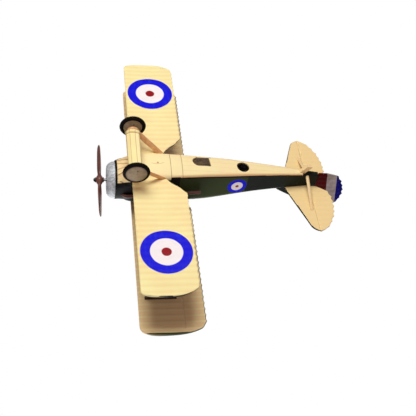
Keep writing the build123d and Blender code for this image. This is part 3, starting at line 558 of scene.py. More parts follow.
for sign, name in ((1, "left"), (-1, "right")):
    rings, mask = aileron(sign)
    ringed(rings, f"aileron_surface_{name}", f"aileron_{name}", "wing_paint", WING_UPPER,
           stands_for=[f"aileron_{name}"], upper=mask)

# %% [markdown]
# Tail surfaces are flat fabric frames: round at the front edge, scalloped behind, with ribs from
# front to back. They could be cut from a flat plate, but then they would have no ribs. One function
# makes them all; the fin and the rudder are the same thing stood up.

# %% A flat fabric frame
TAIL_MID, TAIL_THICK, TAIL_SAG = 3.5, 1.2, 0.1
ELEVATOR_HINGE = -109.5
TAIL_NOSE, TAIL_GAP = 0.5, 0.525
RUDDER_HINGE = -113.5


def flat_surface(along, front, rear, around=18, tip=None, nose=0.45, tail=0.45):
    """Rings of (x, along, height) for a flat frame between a front and a rear edge."""
    share = (1 - np.cos(np.linspace(0, np.pi, around))) / 2
    x = front[:, None] + (rear - front)[:, None] * share
    nearer_rear = edge_round(x - rear[:, None], tail)
    rounding = np.where(share < 0.5, edge_round(front[:, None] - x, nose), nearer_rear)
    taper = 1 - 0.35 * share
    closing = 1 if tip is None else edge_round(tip - along, 0.6)[:, None]
    fabric = TAIL_SAG * (1 - sag(along))[:, None] * np.sin(np.pi * share) ** 0.5
    half = (TAIL_THICK / 2 * taper - fabric) * np.maximum(rounding * closing, 0.02)
    span = np.broadcast_to(along[:, None], x.shape)
    rings = np.concatenate([np.stack([x, span, half], -1), np.stack([x, span, -half], -1)[:, ::-1]], 1)
    edge = (front[:, None] - x < 0.3) & (nose > 0.1)
    mask = np.concatenate([np.ones(x.shape), edge[:, ::-1].astype(float)], 1)
    return rings, mask


def smooth_curve(at, known, values):
    """Straight lines between known points, softened by a bell-shaped running mean."""
    fine = np.linspace(known[0], known[-1], 400)
    line = np.interp(fine, known, values)
    padded = np.pad(line, 12, mode="reflect", reflect_type="odd")
    soft = np.convolve(padded, np.hanning(27) / np.hanning(27).sum(), "same")[12:-12]
    return np.interp(at, fine, soft)


print("tail frames are", TAIL_THICK, "mm thick")

# %% [markdown]
# The tailplane is fixed and the elevators swing behind it. The hinge is a round nose in a close
# gap, as on the ailerons, so nothing opens or cuts in when they move. The two tailplane halves are
# joined in the middle, and the tip of each is closed.

# %% Tailplane and elevators
def tailplane_rings(sign):
    """Half the tailplane: a straight swept front edge that rounds off into the tip."""
    y = np.concatenate([np.linspace(0, 29, 60), 31.6 - 2.6 * (1 - np.sin(np.linspace(0.1, np.pi / 2, 14)))])
    front = -94.6 - 10.6 * y / 29.2 - 4.0 * tip_ease(y, 28.0, 31.6, 2.0)
    rear = np.full(len(y), ELEVATOR_HINGE + TAIL_GAP)
    rings, mask = flat_surface(y, np.maximum(front, rear + 0.05), rear, tip=31.65, tail=0.03)
    rings[..., 1] *= sign
    rings[..., 2] += TAIL_MID
    return rings, mask


def elevator_rings(sign):
    """One elevator: a round nose at the hinge and a bowed, scalloped rear edge."""
    tip_part = 31.5 - 2.5 * (1 - np.sin(np.linspace(0.1, np.pi / 2, 14)))
    y = np.concatenate([np.linspace(1.95, 29, 110), tip_part])
    edge = smooth_curve(y, (1.9, 3.8, 5.6, 9.4, 15.0, 21.5, 27.6, 30.6, 31.5),
                        (-113.2, -116.3, -119.2, -120.3, -120.3, -118.9, -115.7, -112.6, -110.2))
    edge = edge + np.where(y > 5.6, scallops(y - 5.6, 0.62), 0)
    front = np.full(len(y), ELEVATOR_HINGE + TAIL_NOSE)
    rings, mask = flat_surface(y, front, np.minimum(edge, front - 0.6), tip=31.55, nose=0.01)
    rings = round_nose(rings, ELEVATOR_HINGE, 0.0, TAIL_NOSE)
    rings[..., 1] *= sign
    rings[..., 2] += TAIL_MID
    return rings, mask


TAIL_PAINT = wing_paint("tail_paint", hinge=ELEVATOR_HINGE + 0.5, ribs=0.08, warm=0.75)
half_tails = [tailplane_rings(sign) for sign in (1, -1)]
points, faces = joined([
    (rings, grid_faces(*rings.shape[:2]) + end_cap(rings)) for rings, mask in half_tails
])
piece("tailplane_surface", points, faces, "airframe", "wing_paint", TAIL_PAINT, ["tailplane"],
      upper=np.concatenate([mask.ravel() for rings, mask in half_tails]))
for sign, name in ((1, "left"), (-1, "right")):
    rings, mask = elevator_rings(sign)
    ringed(rings, f"elevator_surface_{name}", "elevators", "wing_paint", TAIL_PAINT,
           stands_for=[f"elevator_{name}"], upper=mask)


# %% [markdown]
# The rudder carries three upright bands, red, white and blue, whose borders lean back with the
# rudder post. They are painted in darker copies of those colours, as painted shade, so the white
# shows as pale grey. Bands painted from a leaning coordinate need no seams in the mesh. The fin is
# shaped here and painted later, with the fuselage.

# %% Fin and rudder
def upright(rings):
    """Turns a flat surface from lying across to standing up: span becomes height."""
    return rings[..., [0, 2, 1]]


BAND_LEAN, GREY_FROM, BLUE_FROM = 0.19, -118.7, -124.2


def rudder_paint():
    """Three bands along a coordinate that leans back with height, painted darker as shade, and scuffs on the
    grey.
    """
    net = Net("rudder_bands")
    lean = net.x + net.z * BAND_LEAN
    scuffs = net.noise(1.1, 4.0, (1, 1, 0.25)).above(0.58, 0.1)
    # Painted shade: the bands are darker copies of the roundel colours, and the white shows as grey.
    grey = net.mix(scuffs * 0.5, linear(168, 160, 158), linear(122, 114, 112))
    colour = net.mix(1 - lean.above(GREY_FROM, 0.08), linear(78, 2, 6), grey)
    colour = net.mix(1 - lean.above(BLUE_FROM, 0.08), colour, linear(4, 6, 118))
    return painted(net, colour, 0.5, shine=0.06)


z = np.linspace(-4.55, 21.9, 120)
rear = smooth_curve(z, (-4.6, -3.6, -2.6, 1.2, 6.6, 11.5, 16.6, 19.6, 21.2, 21.95),
                    (-118.2, -121.5, -124.6, -127.4, -129.7, -130.4, -129.5, -127.4, -124.6, -121.6))
rear = rear + np.where(z > -2, scallops(z + 2, 0.6), 0)
front = RUDDER_HINGE + TAIL_NOSE - np.clip(z - 18.2, 0, None) ** 1.35 * 1.2
rings, mask = flat_surface(z, front, np.minimum(rear, front - 0.6), nose=0.5)
ringed(upright(rings), "rudder_surface", "rudder", "rudder_paint", rudder_paint(), stands_for=["rudder"])

z = np.linspace(1.0, 17.3, 70)
front = smooth_curve(z, (1.0, 4.2, 7.2, 10.9, 15.2, 17.3), (-88.0, -90.2, -92.8, -98.8, -106.2, -112.0))
rings, mask = flat_surface(z, front, np.full(len(z), RUDDER_HINGE + TAIL_GAP))
FIN_RINGS = upright(rings)

# %% [markdown]
# The belly is the piece seen most. It is gently convex between two rolled lower edges. One outline
# function gives its outer line at any station, from rail to rail; the thickness is the same line
# moved inwards. The chin, the wing's centre section and the long rear pan are three stretches of
# it, parted by the panel lines that the real castings meet at.

# %% Belly outline
STATION_X = (-7.4, -16.0, -30.0, -42.0, -52.0, -65.0, -80.0, -92.0, -104.0, -112.6)
STATION_W = (9.5, 9.5, 8.6, 7.7, 6.95, 6.0, 4.4, 3.1, 1.9, 1.1)
STATION_BELLY = (-9.5, -10.8, -11.0, -10.6, -10.2, -9.5, -8.3, -7.2, -5.9, -4.9)
STATION_CORNER = (9.2, 4.5, 1.8, 1.2, 1.2, 1.1, 0.9, 0.7, 0.5, 0.4)
STATION_BULGE = (0.0, 1.2, 1.9, 1.7, 1.6, 1.0, 0.6, 0.4, 0.2, 0.1)


def at_station(x, column):
    """A station table's value at x; NumPy wants rising x, so both run backwards."""
    return np.interp(-np.asarray(x), -np.array(STATION_X), column)


def belly_ring(x, rail, wall=1.0, across=48):
    """Closed ring of the belly's cross-section at x: outer line rail to rail, then the inner back."""
    w, belly = at_station(x, STATION_W), at_station(x, STATION_BELLY)
    corner, bulge = at_station(x, STATION_CORNER), at_station(x, STATION_BULGE)
    turn = np.linspace(0, np.pi / 2, 9)
    flat = np.linspace(-1, 1, across) * (w - corner)
    arc_y, arc_z = w - corner + corner * np.cos(turn), belly + corner - corner * np.sin(turn)
    y_line = np.concatenate([-arc_y, flat, arc_y[::-1]])
    z_line = np.concatenate([arc_z, np.full(across, belly), arc_z[::-1]])
    z_line = np.concatenate([[rail], np.minimum(z_line, rail), [rail]])
    if rail > belly + corner:
        y_line = np.concatenate([[-w], y_line, [w]])
    else:
        y_line = np.concatenate([[y_line[0]], y_line, [y_line[-1]]])
        reach = np.sqrt(np.clip(corner**2 - np.clip(belly + corner - z_line, 0, corner) ** 2, 0, None))
        y_line = np.sign(y_line) * np.minimum(np.abs(y_line), w - corner + reach)
    z_line = z_line - bulge * np.clip(1 - (y_line / w) ** 2, 0, 1)
    outer = np.stack([np.full(len(y_line), x), y_line, z_line], -1)
    slope = np.gradient(outer[:, 1:], axis=0)
    slope /= np.maximum(np.linalg.norm(slope, axis=1, keepdims=True), 1e-6)
    inner = outer.copy()
    inner[:, 1] -= slope[:, 1] * wall
    inner[:, 2] += slope[:, 0] * wall
    inner[0, 1:], inner[-1, 1:] = (outer[0, 1] + wall, rail), (outer[-1, 1] - wall, rail)
    return np.concatenate([outer, inner[::-1]])


def groove(x, places, width=0.16, depth=0.22):
    """Depth of the scribed panel lines at x."""
    return sum((depth * np.exp(-(((x - p) / width) ** 2)) for p in places), np.zeros(len(x)))


def belly_stretch(start, end, rail, step, scribed=(), wall=1.0):
    """Rings from start to end, with scribed lines sunk into the outer surface."""
    x = np.linspace(start, end, max(4, int(abs(end - start) / step)))
    rings = np.stack([belly_ring(value, rail(value), wall) for value in x])
    outer = rings.shape[1] // 2
    sunk = groove(x, scribed)[:, None]
    rings[:, 2:outer - 2, 2] += np.broadcast_to(sunk, rings[:, 2:outer - 2, 2].shape)
    return rings


print("belly is", 2 * max(STATION_W), "mm wide at the nose and", 2 * STATION_W[-1], "mm at the tail")

# %% [markdown]
# The belly's paint carries most of its small detail: stringers under the fabric, scribed panel
# lines, slots between the engine petals and a crease at the front plug. Brown painted shade runs
# along the stringers, the rolled edges and beside the petal slots, and the black on the rails is a
# dark joint with painted shade along the longeron. Each is a mask over flying coordinates, mixed in
# from the faintest to the darkest.

# %% Belly paint
def belly_paint():
    """Cream belly with stringers, dark scribed lines and engine petal slots, and brown painted shade along
    the stringers, the edges and the slots.
    """
    net = Net("belly_paint")
    flank = abs(net.y)
    stringer = abs((net.y * (2 * math.pi / 5.8)).math("SINE")).above(0.985, 0.012)
    aft = 1 - net.x.above(-40.5, 0.1)
    wear_and_shade = net.noise(0.9, 3.0, (0.15, 1, 1)).above(0.5, 0.25)
    colour = net.mix(0.3, cream_paint(net), linear(252, 232, 196))
    # Painted shade: brown lines along the stringers aft of the centre section, broken into patches.
    colour = net.mix(stringer * aft * wear_and_shade * 0.3, colour, linear(214, 160, 104))
    scribed = net.x.within(-34.75, -34.45, 0.08).either(net.x.within(-40.45, -40.15, 0.08))
    colour = net.mix(scribed * 0.7, colour, linear(150, 102, 62))
    # Painted shade: orange-brown along the pan's rolled edges.
    edge = (flank - (net.x + 34.5) * 0.0906).above(7.7, 0.55) * (1 - net.x.above(-34.5, 0.5))
    colour = net.mix(edge * 0.6, colour, linear(214, 148, 88))
    ahead = net.x.above(-15.4, 0.1)
    petal = flank - net.x * 0.25
    # Painted shade: brown bands beside the two petal slots.
    petal_shade = petal.within(3.7, 4.6, 0.5).either(petal.within(6.6, 7.5, 0.5)) * ahead
    colour = net.mix(petal_shade * 0.55, colour, linear(196, 138, 84))
    slot = (petal.within(4.0, 4.2, 0.1) * 0.6).either(petal.within(6.85, 7.1, 0.12)) * ahead
    colour = net.mix(slot, colour, linear(60, 36, 20))
    streak = net.noise(0.8, 3.0, (0.2, 1, 1)).above(0.52, 0.18) * ahead
    colour = net.mix(streak * 0.35, colour, linear(196, 134, 74))
    off = net.x + 28.2
    screw = 1 - (off * off + net.y * net.y).math("SQRT").above(0.5, 0.12)
    crease = (abs(net.y - off * off * 0.07 + 0.75) * -1).above(-0.16, 0.1)
    crease = crease * (abs(off) * -1).above(-3.1, 0.3)
    colour = net.mix((screw * 0.8).either(crease * 0.5), colour, linear(186, 116, 62))
    louvre = net.x.within(-11.2, -9.6, 0.1) * net.z.within(-7.4, -6.9, 0.1)
    colour = net.mix(louvre * 0.8, colour, linear(84, 50, 28))
    lip = net.node("ShaderNodeAttribute", {"attribute_name": "upper"}, {}, "Fac").above(0.5, 0.1)
    # Black paint on the cowl's flanks ahead; on the pan's raised rails the black is a dark joint with
    # painted shade along the longeron edge.
    flank_black = ((net.z - net.x * 0.33).above(-3.35, 0.06) * ahead).either(lip)
    colour = net.mix(flank_black, colour, BLACK)
    height = net.noise(0.5, 2.0) * 0.5 + stringer * aft * 2 - slot * 3
    polish = net.noise(8) * 0.16 + 0.46
    return net.finish(Base_Color=colour, Roughness=polish, Normal=net.bump(height, 0.3, 0.03),
                      Specular_IOR_Level=0.25)


BELLY_PAINT = belly_paint()
print("belly paint has", len(BELLY_PAINT.node_tree.nodes), "nodes")

# %% [markdown]
# The chin, the centre section and the pan are cut from the one outline. The chin's petal slots are
# pressed into its outer points as well as painted, since they catch the light along their edges.

# %% Chin, centre section and belly pan
def level(height):
    """A rail at the same height all along a stretch."""
    return lambda x: height


chin = belly_stretch(-8.45, -15.05, level(-6.2), 0.35)
across = chin.shape[1] // 2
petals = np.abs(chin[:, :across, 1]) - chin[:, :across, 0] * 0.25
chin[:, :across, 2] += sum(0.3 * np.exp(-(((petals - line) / 0.2) ** 2)) for line in (4.1, 7.0))
ringed(chin, "chin_surface", "airframe", "belly_paint", BELLY_PAINT, stands_for=["chin_panel"])
centre = belly_stretch(-15.1, -34.45, level(-8.9), 0.35, (-34.6,), wall=1.4)
ringed(centre, "centre_section", "airframe", "wing_paint", BELLY_PAINT)
pan = belly_stretch(-34.5, -104.0, lambda x: at_station(x, STATION_BELLY) + 1.4, 0.3, (-34.4, -40.3))
above_belly = pan[..., 2] - at_station(pan[..., 0], STATION_BELLY)
belly_pan = ringed(pan, "belly_pan_surface", "airframe", "belly_paint", BELLY_PAINT,
                   stands_for=["belly_pan"], upper=(above_belly > 0.5).astype(float))

# %% [markdown]
# The pan is open where the stand socket sits and where the D-shaped vent is let in. Two cutters are
# taken out of the finished shell with a Boolean, which keeps their edges crisp, and are removed.
# Holes left in the grid itself would have followed its steps.

# %% Openings in the belly
SOCKET_X, SOCKET_RADIUS = -71.8, 3.25
VENT_Y, VENT_HALF, VENT_FRONT, VENT_BACK = 1.9, 3.2, -45.8, -55.0


def prism(outline, low, high):
    """Points and faces of an upright prism over a closed (x, y) outline."""
    outline = np.asarray(outline, float)
    count = len(outline)
    points = np.concatenate([np.column_stack([outline, np.full(count, z)]) for z in (low, high)])
    faces = [list(range(count)), list(range(count, 2 * count))]
    return points, faces + grid_faces(2, count)


def cut(target, *prisms):
    """Takes prisms out of a piece."""
    for points, faces in prisms:
        mesh = bpy.data.meshes.new("cutter")
        mesh.from_pydata(place(points).tolist(), [], faces)
        shaped = bmesh.new()
        shaped.from_mesh(mesh)
        bmesh.ops.recalc_face_normals(shaped, faces=shaped.faces)
        shaped.to_mesh(mesh)
        shaped.free()
        cutter = bpy.data.objects.new("cutter", mesh)
        scene.collection.objects.link(cutter)
        boolean = target.modifiers.new("opening", "BOOLEAN")
        boolean.operation, boolean.object, boolean.solver = "DIFFERENCE", cutter, "EXACT"
        bpy.context.view_layer.update()
        evaluated = target.evaluated_get(bpy.context.evaluated_depsgraph_get())
        result = bpy.data.meshes.new_from_object(evaluated)
        target.modifiers.clear()
        target.data = result
        bpy.data.objects.remove(cutter)
    target.data.shade_smooth()
    target.data.set_sharp_from_angle(angle=math.radians(CREASE))
    print(target.name, "cut to", len(target.data.polygons), "faces")


turn = np.linspace(0, 2 * np.pi, 64, endpoint=False)
hole = np.stack([SOCKET_X + SOCKET_RADIUS * np.cos(turn), SOCKET_RADIUS * np.sin(turn)], 1)
bow = np.linspace(-np.pi / 2, np.pi / 2, 28)
window = np.concatenate([
    np.stack([VENT_FRONT - VENT_HALF + VENT_HALF * np.cos(bow), VENT_Y + VENT_HALF * np.sin(bow)], 1),
    [[VENT_BACK + 0.5, VENT_Y + VENT_HALF], [VENT_BACK, VENT_Y - VENT_HALF]],
])
cut(belly_pan, prism(hole, -16, -2), prism(window, -16, -7.5))

# %% [markdown]
# Behind the D lies a square of woven gauze. Separate wires would be thousands of tiny tubes, so the
# weave is a height field instead: the higher of two crossed sets of rounded ridges.

# %% Vent gauze
def gauze(x0, x1, y0, y1, base, wire=0.62, proud=0.2, steps=6):
    """A closed block whose lower face is woven: each set of wires is a rounded ridge."""
    x = np.linspace(x0, x1, int((x1 - x0) / wire * steps))
    y = np.linspace(y0, y1, int((y1 - y0) / wire * steps))
    across, along = np.meshgrid(x, y, indexing="ij")
    ridge = np.maximum(np.abs(np.cos(np.pi * across / wire)), np.abs(np.cos(np.pi * along / wire))) ** 3
    under = np.stack([across, along, base - proud * ridge], -1)
    over = under.copy()
    over[..., 2] = base + 0.5
    rows, columns = across.shape
    faces = grid_faces(rows, columns, ring=False)
    faces += [[index + rows * columns for index in face[::-1]] for face in faces]
    rim = np.concatenate([
        np.arange(columns), np.arange(1, rows) * columns + columns - 1,
        (rows - 1) * columns + np.arange(columns - 2, -1, -1), np.arange(rows - 2, 0, -1) * columns,
    ])
    after = np.roll(rim, -1)
    faces += np.stack([rim, after, after + rows * columns, rim + rows * columns], 1).tolist()
    return np.concatenate([under.reshape(-1, 3), over.reshape(-1, 3)]), faces


def vent_material():
    """Brown gauze with paler patches, slightly metallic."""
    net = Net("vent_gauze")
    high = net.noise(1.1, 3.0)
    colour = net.mix(high.above(0.55, 0.15), linear(54, 40, 22), linear(104, 82, 50))
    return net.finish(Base_Color=colour, Roughness=net.noise(0.7) * 0.2 + 0.35, Metallic=0.1,
                      Normal=net.bump(net.noise(0.3), 0.4, 0.03))


VENT_MATERIAL = vent_material()
points, faces = gauze(-55.6, -45.2, VENT_Y - 3.5, VENT_Y + 3.5, -10.5)
piece("vent_gauze", points, faces, "airframe", "vent_brown", VENT_MATERIAL, ["belly_vent"], crease=60)

# %% [markdown]
# The undercarriage has a broad plank that hides the axle. Its edges are planed to flats and it
# ends in flared caps over the legs' feet. A profile of flats is carried along the axle line while
# a scale swells at the caps and shrinks to the axle boss.

# %% Axle fairing
AXLE_X, AXLE_Z = -16.2, -22.2
PLANK = np.array([(3.35, 0.15), (1.6, 1.1), (-1.0, 1.2), (-2.8, 0.65), (-3.3, 0.15),
                  (-3.3, -0.15), (-2.8, -0.7), (-1.0, -1.3), (1.6, -1.3), (3.35, -0.15)])
PLANK_Y = np.array((0, 9.7, 9.75, 10.3, 11.3, 11.35, 12.9, 13.0))
PLANK_WIDE = np.array((1, 1, 1.0, 1.16, 1.16, 1.12, 0.42, 0.40))
PLANK_TALL = np.array((1, 1, 1.0, 1.55, 1.55, 1.5, 1.0, 0.95))


def fairing_paint():
    """Cream plank with painted shade along each planed edge, its front and rear edges and its caps, and a
    painted highlight on its rear flat.
    """
    net = Net("fairing_paint")
    edges = net.x.within(-14.52, -14.3, 0.1).either(net.x.within(-17.1, -16.88, 0.1))
    edges = edges.either(net.x.within(-18.95, -18.75, 0.08)).either(abs(net.y).within(9.7, 9.95, 0.08))
    rim = abs(net.x + 16.0).above(3.15, 0.15).either(abs(net.y).above(12.0, 0.2))
    grain = net.noise(1.2, 3.0, (1, 0.1, 1)) * 0.5 + 0.45
    # Painted highlight: a paler band on the rear flat.
    colour = net.mix(net.x.within(-18.8, -17.1, 0.2) * 0.5, cream_paint(net), linear(255, 244, 190))
    # Painted shade: brown lines along each planed edge.
    colour = net.mix(edges * grain, colour, linear(168, 116, 66))
    # Painted shade: darker round the plank's front and rear edges and its caps.
    colour = net.mix(rim * 0.65, colour, SHADE_BROWN)
    return painted(net, colour, 0.5)


reach = np.concatenate([-PLANK_Y[::-1], PLANK_Y[1:]])
wide, tall = (np.concatenate([v[::-1], v[1:]]) for v in (PLANK_WIDE, PLANK_TALL))
rings = np.stack([
    AXLE_X + 0.2 + PLANK[None, :, 0] * wide[:, None],
    np.broadcast_to(reach[:, None], (len(reach), len(PLANK))),
    AXLE_Z + PLANK[None, :, 1] * tall[:, None],
], -1)
PLANED_ANGLE, PLANED_WIDTH = 20, 0.12
fairing = ringed(rings, "axle_plank", "airframe", "belly_paint", fairing_paint(),
                 stands_for=["axle_fairing"], crease=PLANED_ANGLE)
soft = fairing.modifiers.new("planed_edges", "BEVEL")
soft.width, soft.segments = PLANED_WIDTH * MM, 2
soft.limit_method, soft.angle_limit = "ANGLE", math.radians(PLANED_ANGLE)

# %% [markdown]
# Wheels, the cowl's lip and the nose ring are all round, so each is a profile carried round an axis.
# A Screw modifier would do the same; the grid is worked out here so that later steps can dent it.

# %% Turned pieces
def turned_profile(profile, centre, axis, steps=96):
    """Carries (radius, along) pairs round an axis through a centre, closing both ways."""
    profile = np.asarray(profile, float)
    angle = np.linspace(0, 2 * np.pi, steps, endpoint=False)
    radius = profile[None, :, 0]
    along = np.broadcast_to(profile[None, :, 1], (steps, len(profile)))
    first, second = radius * np.cos(angle)[:, None], radius * np.sin(angle)[:, None]
    order = {"y": (first, along, second), "x": (along, first, second)}[axis]
    return np.stack(order, -1) + np.asarray(centre)


def turned_faces(rows, columns):
    """Grid quads that wrap both ways."""
    row, column = np.meshgrid(np.arange(rows), np.arange(columns), indexing="ij")
    below, after = (row + 1) % rows, (column + 1) % columns
    a, b = row * columns, below * columns
    quads = np.stack([a + column, a + after, b + after, b + column], -1)
    return quads.reshape(-1, 4).tolist()


def turned_piece(name, profile, centre, axis, *rest, **more):
    """A profile turned about an axis and made a piece."""
    grid = turned_profile(profile, centre, axis)
    return piece(name, grid.reshape(-1, 3), turned_faces(*grid.shape[:2]), *rest, **more)


print("a wheel's profile makes", len(turned_faces(96, 28)), "faces in the tyre")

# %% [markdown]
# Each wheel is a round-section tyre on a closed disc. The tyre has a faint tread line, and the disc
# a shallow cone, a rim bead and a small valve patch, which is painted on.

# %% Wheels
def tyre_material():
    """Matt black rubber with a little dust."""
    net = Net("tyre_rubber")
    dust = net.noise(2.2, 3.0).above(0.5, 0.25)
    colour = net.mix(dust * 0.4, linear(6, 5, 5), linear(20, 17, 15))
    return net.finish(Base_Color=colour, Roughness=net.noise(1.2) * 0.2 + 0.65,
                      Normal=net.bump(net.noise(0.35), 0.35, 0.03), Specular_IOR_Level=0.1)


def from_point(net, x, z):
    """Distance from a point of the side view: the square root of the two squares' sum."""
    along, up = net.x - x, net.z - z
    return (along * along + up * up).math("SQRT")


def disc_material():
    """Olive-grey disc, darker towards the rim, with the valve patch low on it."""
    net = Net("wheel_disc_paint")
    radius = from_point(net, AXLE_X, AXLE_Z)
    colour = net.mix(net.noise(2.4, 4.0).above(0.5, 0.2), linear(170, 155, 128), linear(142, 128, 104))
    colour = net.mix(radius.above(4.6, 0.35) * 0.6, colour, linear(88, 74, 56))
    valve = from_point(net, AXLE_X - 0.4, AXLE_Z - 2.2)
    colour = net.mix((1 - valve.above(0.42, 0.1)) * 0.7, colour, linear(70, 58, 40))
    return painted(net, colour, 0.5, 0.4)


TYRE, DISC = tyre_material(), disc_material()
WHEEL_Y, WHEEL_RADIUS, RUNNING = 15.4, 6.5, 0.56
around = np.linspace(0, 2 * np.pi, 28, endpoint=False)
tread = 0.05 * np.abs(np.sin(around * 3)) * (np.cos(around) > 0.6)
tyre_profile = np.stack([WHEEL_RADIUS - 1.05 + (1.05 - tread) * np.cos(around), 1.05 * np.sin(around)], 1)
cover_profile = [(0.0, 1.55), (0.5, 1.54), (0.62, 1.46), (4.6, 1.06), (4.75, 1.12), (4.95, 1.1), (5.1, 0.9),
                 (5.1, 0.62), (4.7, 0.5), (1.5, 0.5), (1.5, 1.15), (0.0, 1.15)]
core_profile = [(RUNNING, -1.5), (1.15, -1.5), (1.35, -1.38), (4.3, -0.72), (4.6, -0.78),
                (4.75, -0.5), (4.7, 0.48), (RUNNING, 0.48)]
for sign, name in ((1, "left"), (-1, "right")):
    centre, body = (AXLE_X, sign * WHEEL_Y, AXLE_Z), f"wheel_{name}"
    for kind, profile, slot, material, crease in (
        ("tyre", tyre_profile, "tyre_black", TYRE, 50),
        ("wheel_cover", cover_profile, "wheel_grey", DISC, 25),
        ("wheel_core", core_profile, "wheel_grey", DISC, 25),
    ):
        flipped = np.asarray(profile) * (1, sign)
        turned_piece(f"{kind}_turned_{name}", flipped, centre, "y", body, slot, material,
                     stands_for=[f"{kind}_{name}"], crease=crease)

# %% [markdown]
# The propeller is one carved length of wood from tip to tip. Each section is a flattened oval whose
# pitch eases from edge-on at the boss to nearly flat at the tip. The boss is a diamond because the
# chord there is cut square and falls away in a straight line on each side.

# %% Propeller
PROP_RADIUS, PROP_TURN = 20.9, math.radians(-10)
BLADE_R = (0.0, 0.9, 2.9, 4.2, 7.0, 10.5, 14.0, 17.5, 19.4, 20.4, 20.9)
BLADE_CHORD = (4.2, 3.7, 1.7, 2.2, 3.3, 4.0, 4.1, 3.8, 3.2, 2.2, 0.4)
BLADE_THICK = (4.2, 3.7, 1.6, 1.4, 1.3, 1.15, 1.0, 0.85, 0.7, 0.5, 0.15)
BLADE_PITCH = (90, 89, 60, 42, 30, 24, 22, 21, 20, 20, 20)


def propeller_rings(around=28):
    """Oval sections along the blade line, the second blade being the first turned half round."""
    out = PROP_RADIUS * np.sin(np.linspace(-np.pi / 2, np.pi / 2, 121))
    radius = np.abs(out)
    chord, thick = (blade_table(radius, values) for values in (BLADE_CHORD, BLADE_THICK))
    pitch = np.radians(blade_table(radius, BLADE_PITCH)) * np.sign(out + 1e-9)
    pitch = np.where(out < 0, np.pi + pitch, pitch)
    angle = np.linspace(0, 2 * np.pi, around, endpoint=False)
    along = chord[:, None] / 2 * np.cos(angle)
    through = thick[:, None] / 2 * np.sin(angle)
    axial = along * np.sin(pitch)[:, None] + through * np.cos(pitch)[:, None]
    across = along * np.cos(pitch)[:, None] - through * np.sin(pitch)[:, None]
    axial = np.clip(axial, -2.12, 2.12)
    height = np.broadcast_to(out[:, None], axial.shape)
    turned_y = height * math.cos(PROP_TURN) - across * math.sin(PROP_TURN)
    turned_z = height * math.sin(PROP_TURN) + across * math.cos(PROP_TURN)
    return np.stack([axial, turned_y, turned_z], -1)


def blade_table(radius, values):
    """A blade table's value at each radius, straight between its entries."""
    return np.interp(radius, BLADE_R, values)


def propeller_material():
    """Brown plastic painted as carved wood, with long grain and paler patches."""
    net = Net("propeller_brown")
    grain = net.noise(0.9, 4.0, (1, 0.09, 1))
    colour = net.mix(grain.above(0.5, 0.2), linear(112, 66, 54), linear(84, 46, 38))
    colour = net.mix(net.noise(5, 2.0).above(0.6, 0.2) * 0.4, colour, linear(140, 92, 74))
    return net.finish(Base_Color=colour, Roughness=net.noise(1.5) * 0.2 + 0.36, Coat_Weight=0.25,
                      Normal=net.bump(grain, 0.35, 0.03))


ringed(propeller_rings(), "propeller_carved", "propeller_unit", "propeller_brown", propeller_material(),
       stands_for=["propeller"], crease=60)

# %% [markdown]
# The radiator's surround is a hammered ring that narrows towards the front like the lip of a bowl.
# It is a profile turned about the shaft, and its dents are two crossed waves of slightly different
# pitch, which never repeat in step. Behind it the cowl shows a thin black lip of its own.

# %% Hammered ring and cowl lip
RING_PROFILE = np.array([(8.3, -7.4), (9.15, -7.4), (9.15, -6.7), (9.02, -6.0), (8.75, -5.3), (8.35, -4.65),
                         (7.8, -4.05), (7.2, -3.6), (6.8, -3.42), (6.5, -3.55), (6.5, -4.0), (8.3, -4.75)])


def hammered(profile, centre, steps=240, between=7):
    """The turned profile, refined, with each point pushed along its radius by crossed waves."""
    loop = np.concatenate([profile, profile[:1]])
    at = np.arange(len(loop))
    fine = np.linspace(0, len(profile), len(profile) * between, endpoint=False)
    smooth = np.stack([np.interp(fine, at, loop[:, 0]), np.interp(fine, at, loop[:, 1])], 1)
    grid = turned_profile(smooth, centre, "x", steps)
    angle = np.arctan2(grid[..., 2], grid[..., 1])
    dents = np.sin(angle * 53 + grid[..., 0] * 2.1) * np.sin(angle * 31 - grid[..., 0] * 5.3)
    dents += 0.6 * np.sin(angle * 83 + grid[..., 0] * 7.7)
    outside = np.hypot(grid[..., 1], grid[..., 2]) > 6.9
    grid[..., 1:] *= (1 + 0.0045 * dents * outside)[..., None]
    return grid


ring_grid = hammered(RING_PROFILE, (0, 0, 0))
cowl_lip = [(8.5, -7.42), (9.2, -7.42), (9.42, -7.6), (9.5, -8.0), (9.5, -8.6), (8.5, -8.6)]
RING_FACES = turned_faces(*ring_grid.shape[:2])
print("hammered ring has", len(RING_FACES), "faces")

# %% [markdown]
# The fuselage shell, cowl and fin take one camouflage paint, so that its patches run on from piece
# to piece. The patches are set by station along the side, with a roundel on each flank. The fin is
# the flat frame shaped earlier, stood up.

# %% Fuselage paint, fin and cowl lip
BLACK_PATCH, SIDE_ROUNDEL, SIDE_ROUNDEL_RADIUS = (-74.5, -39.5), (-69.2, -1.2), 5.0
PANEL_LINES = ((-30.15, -29.85), (-39.6, -39.4), (-9.5, -9.3))


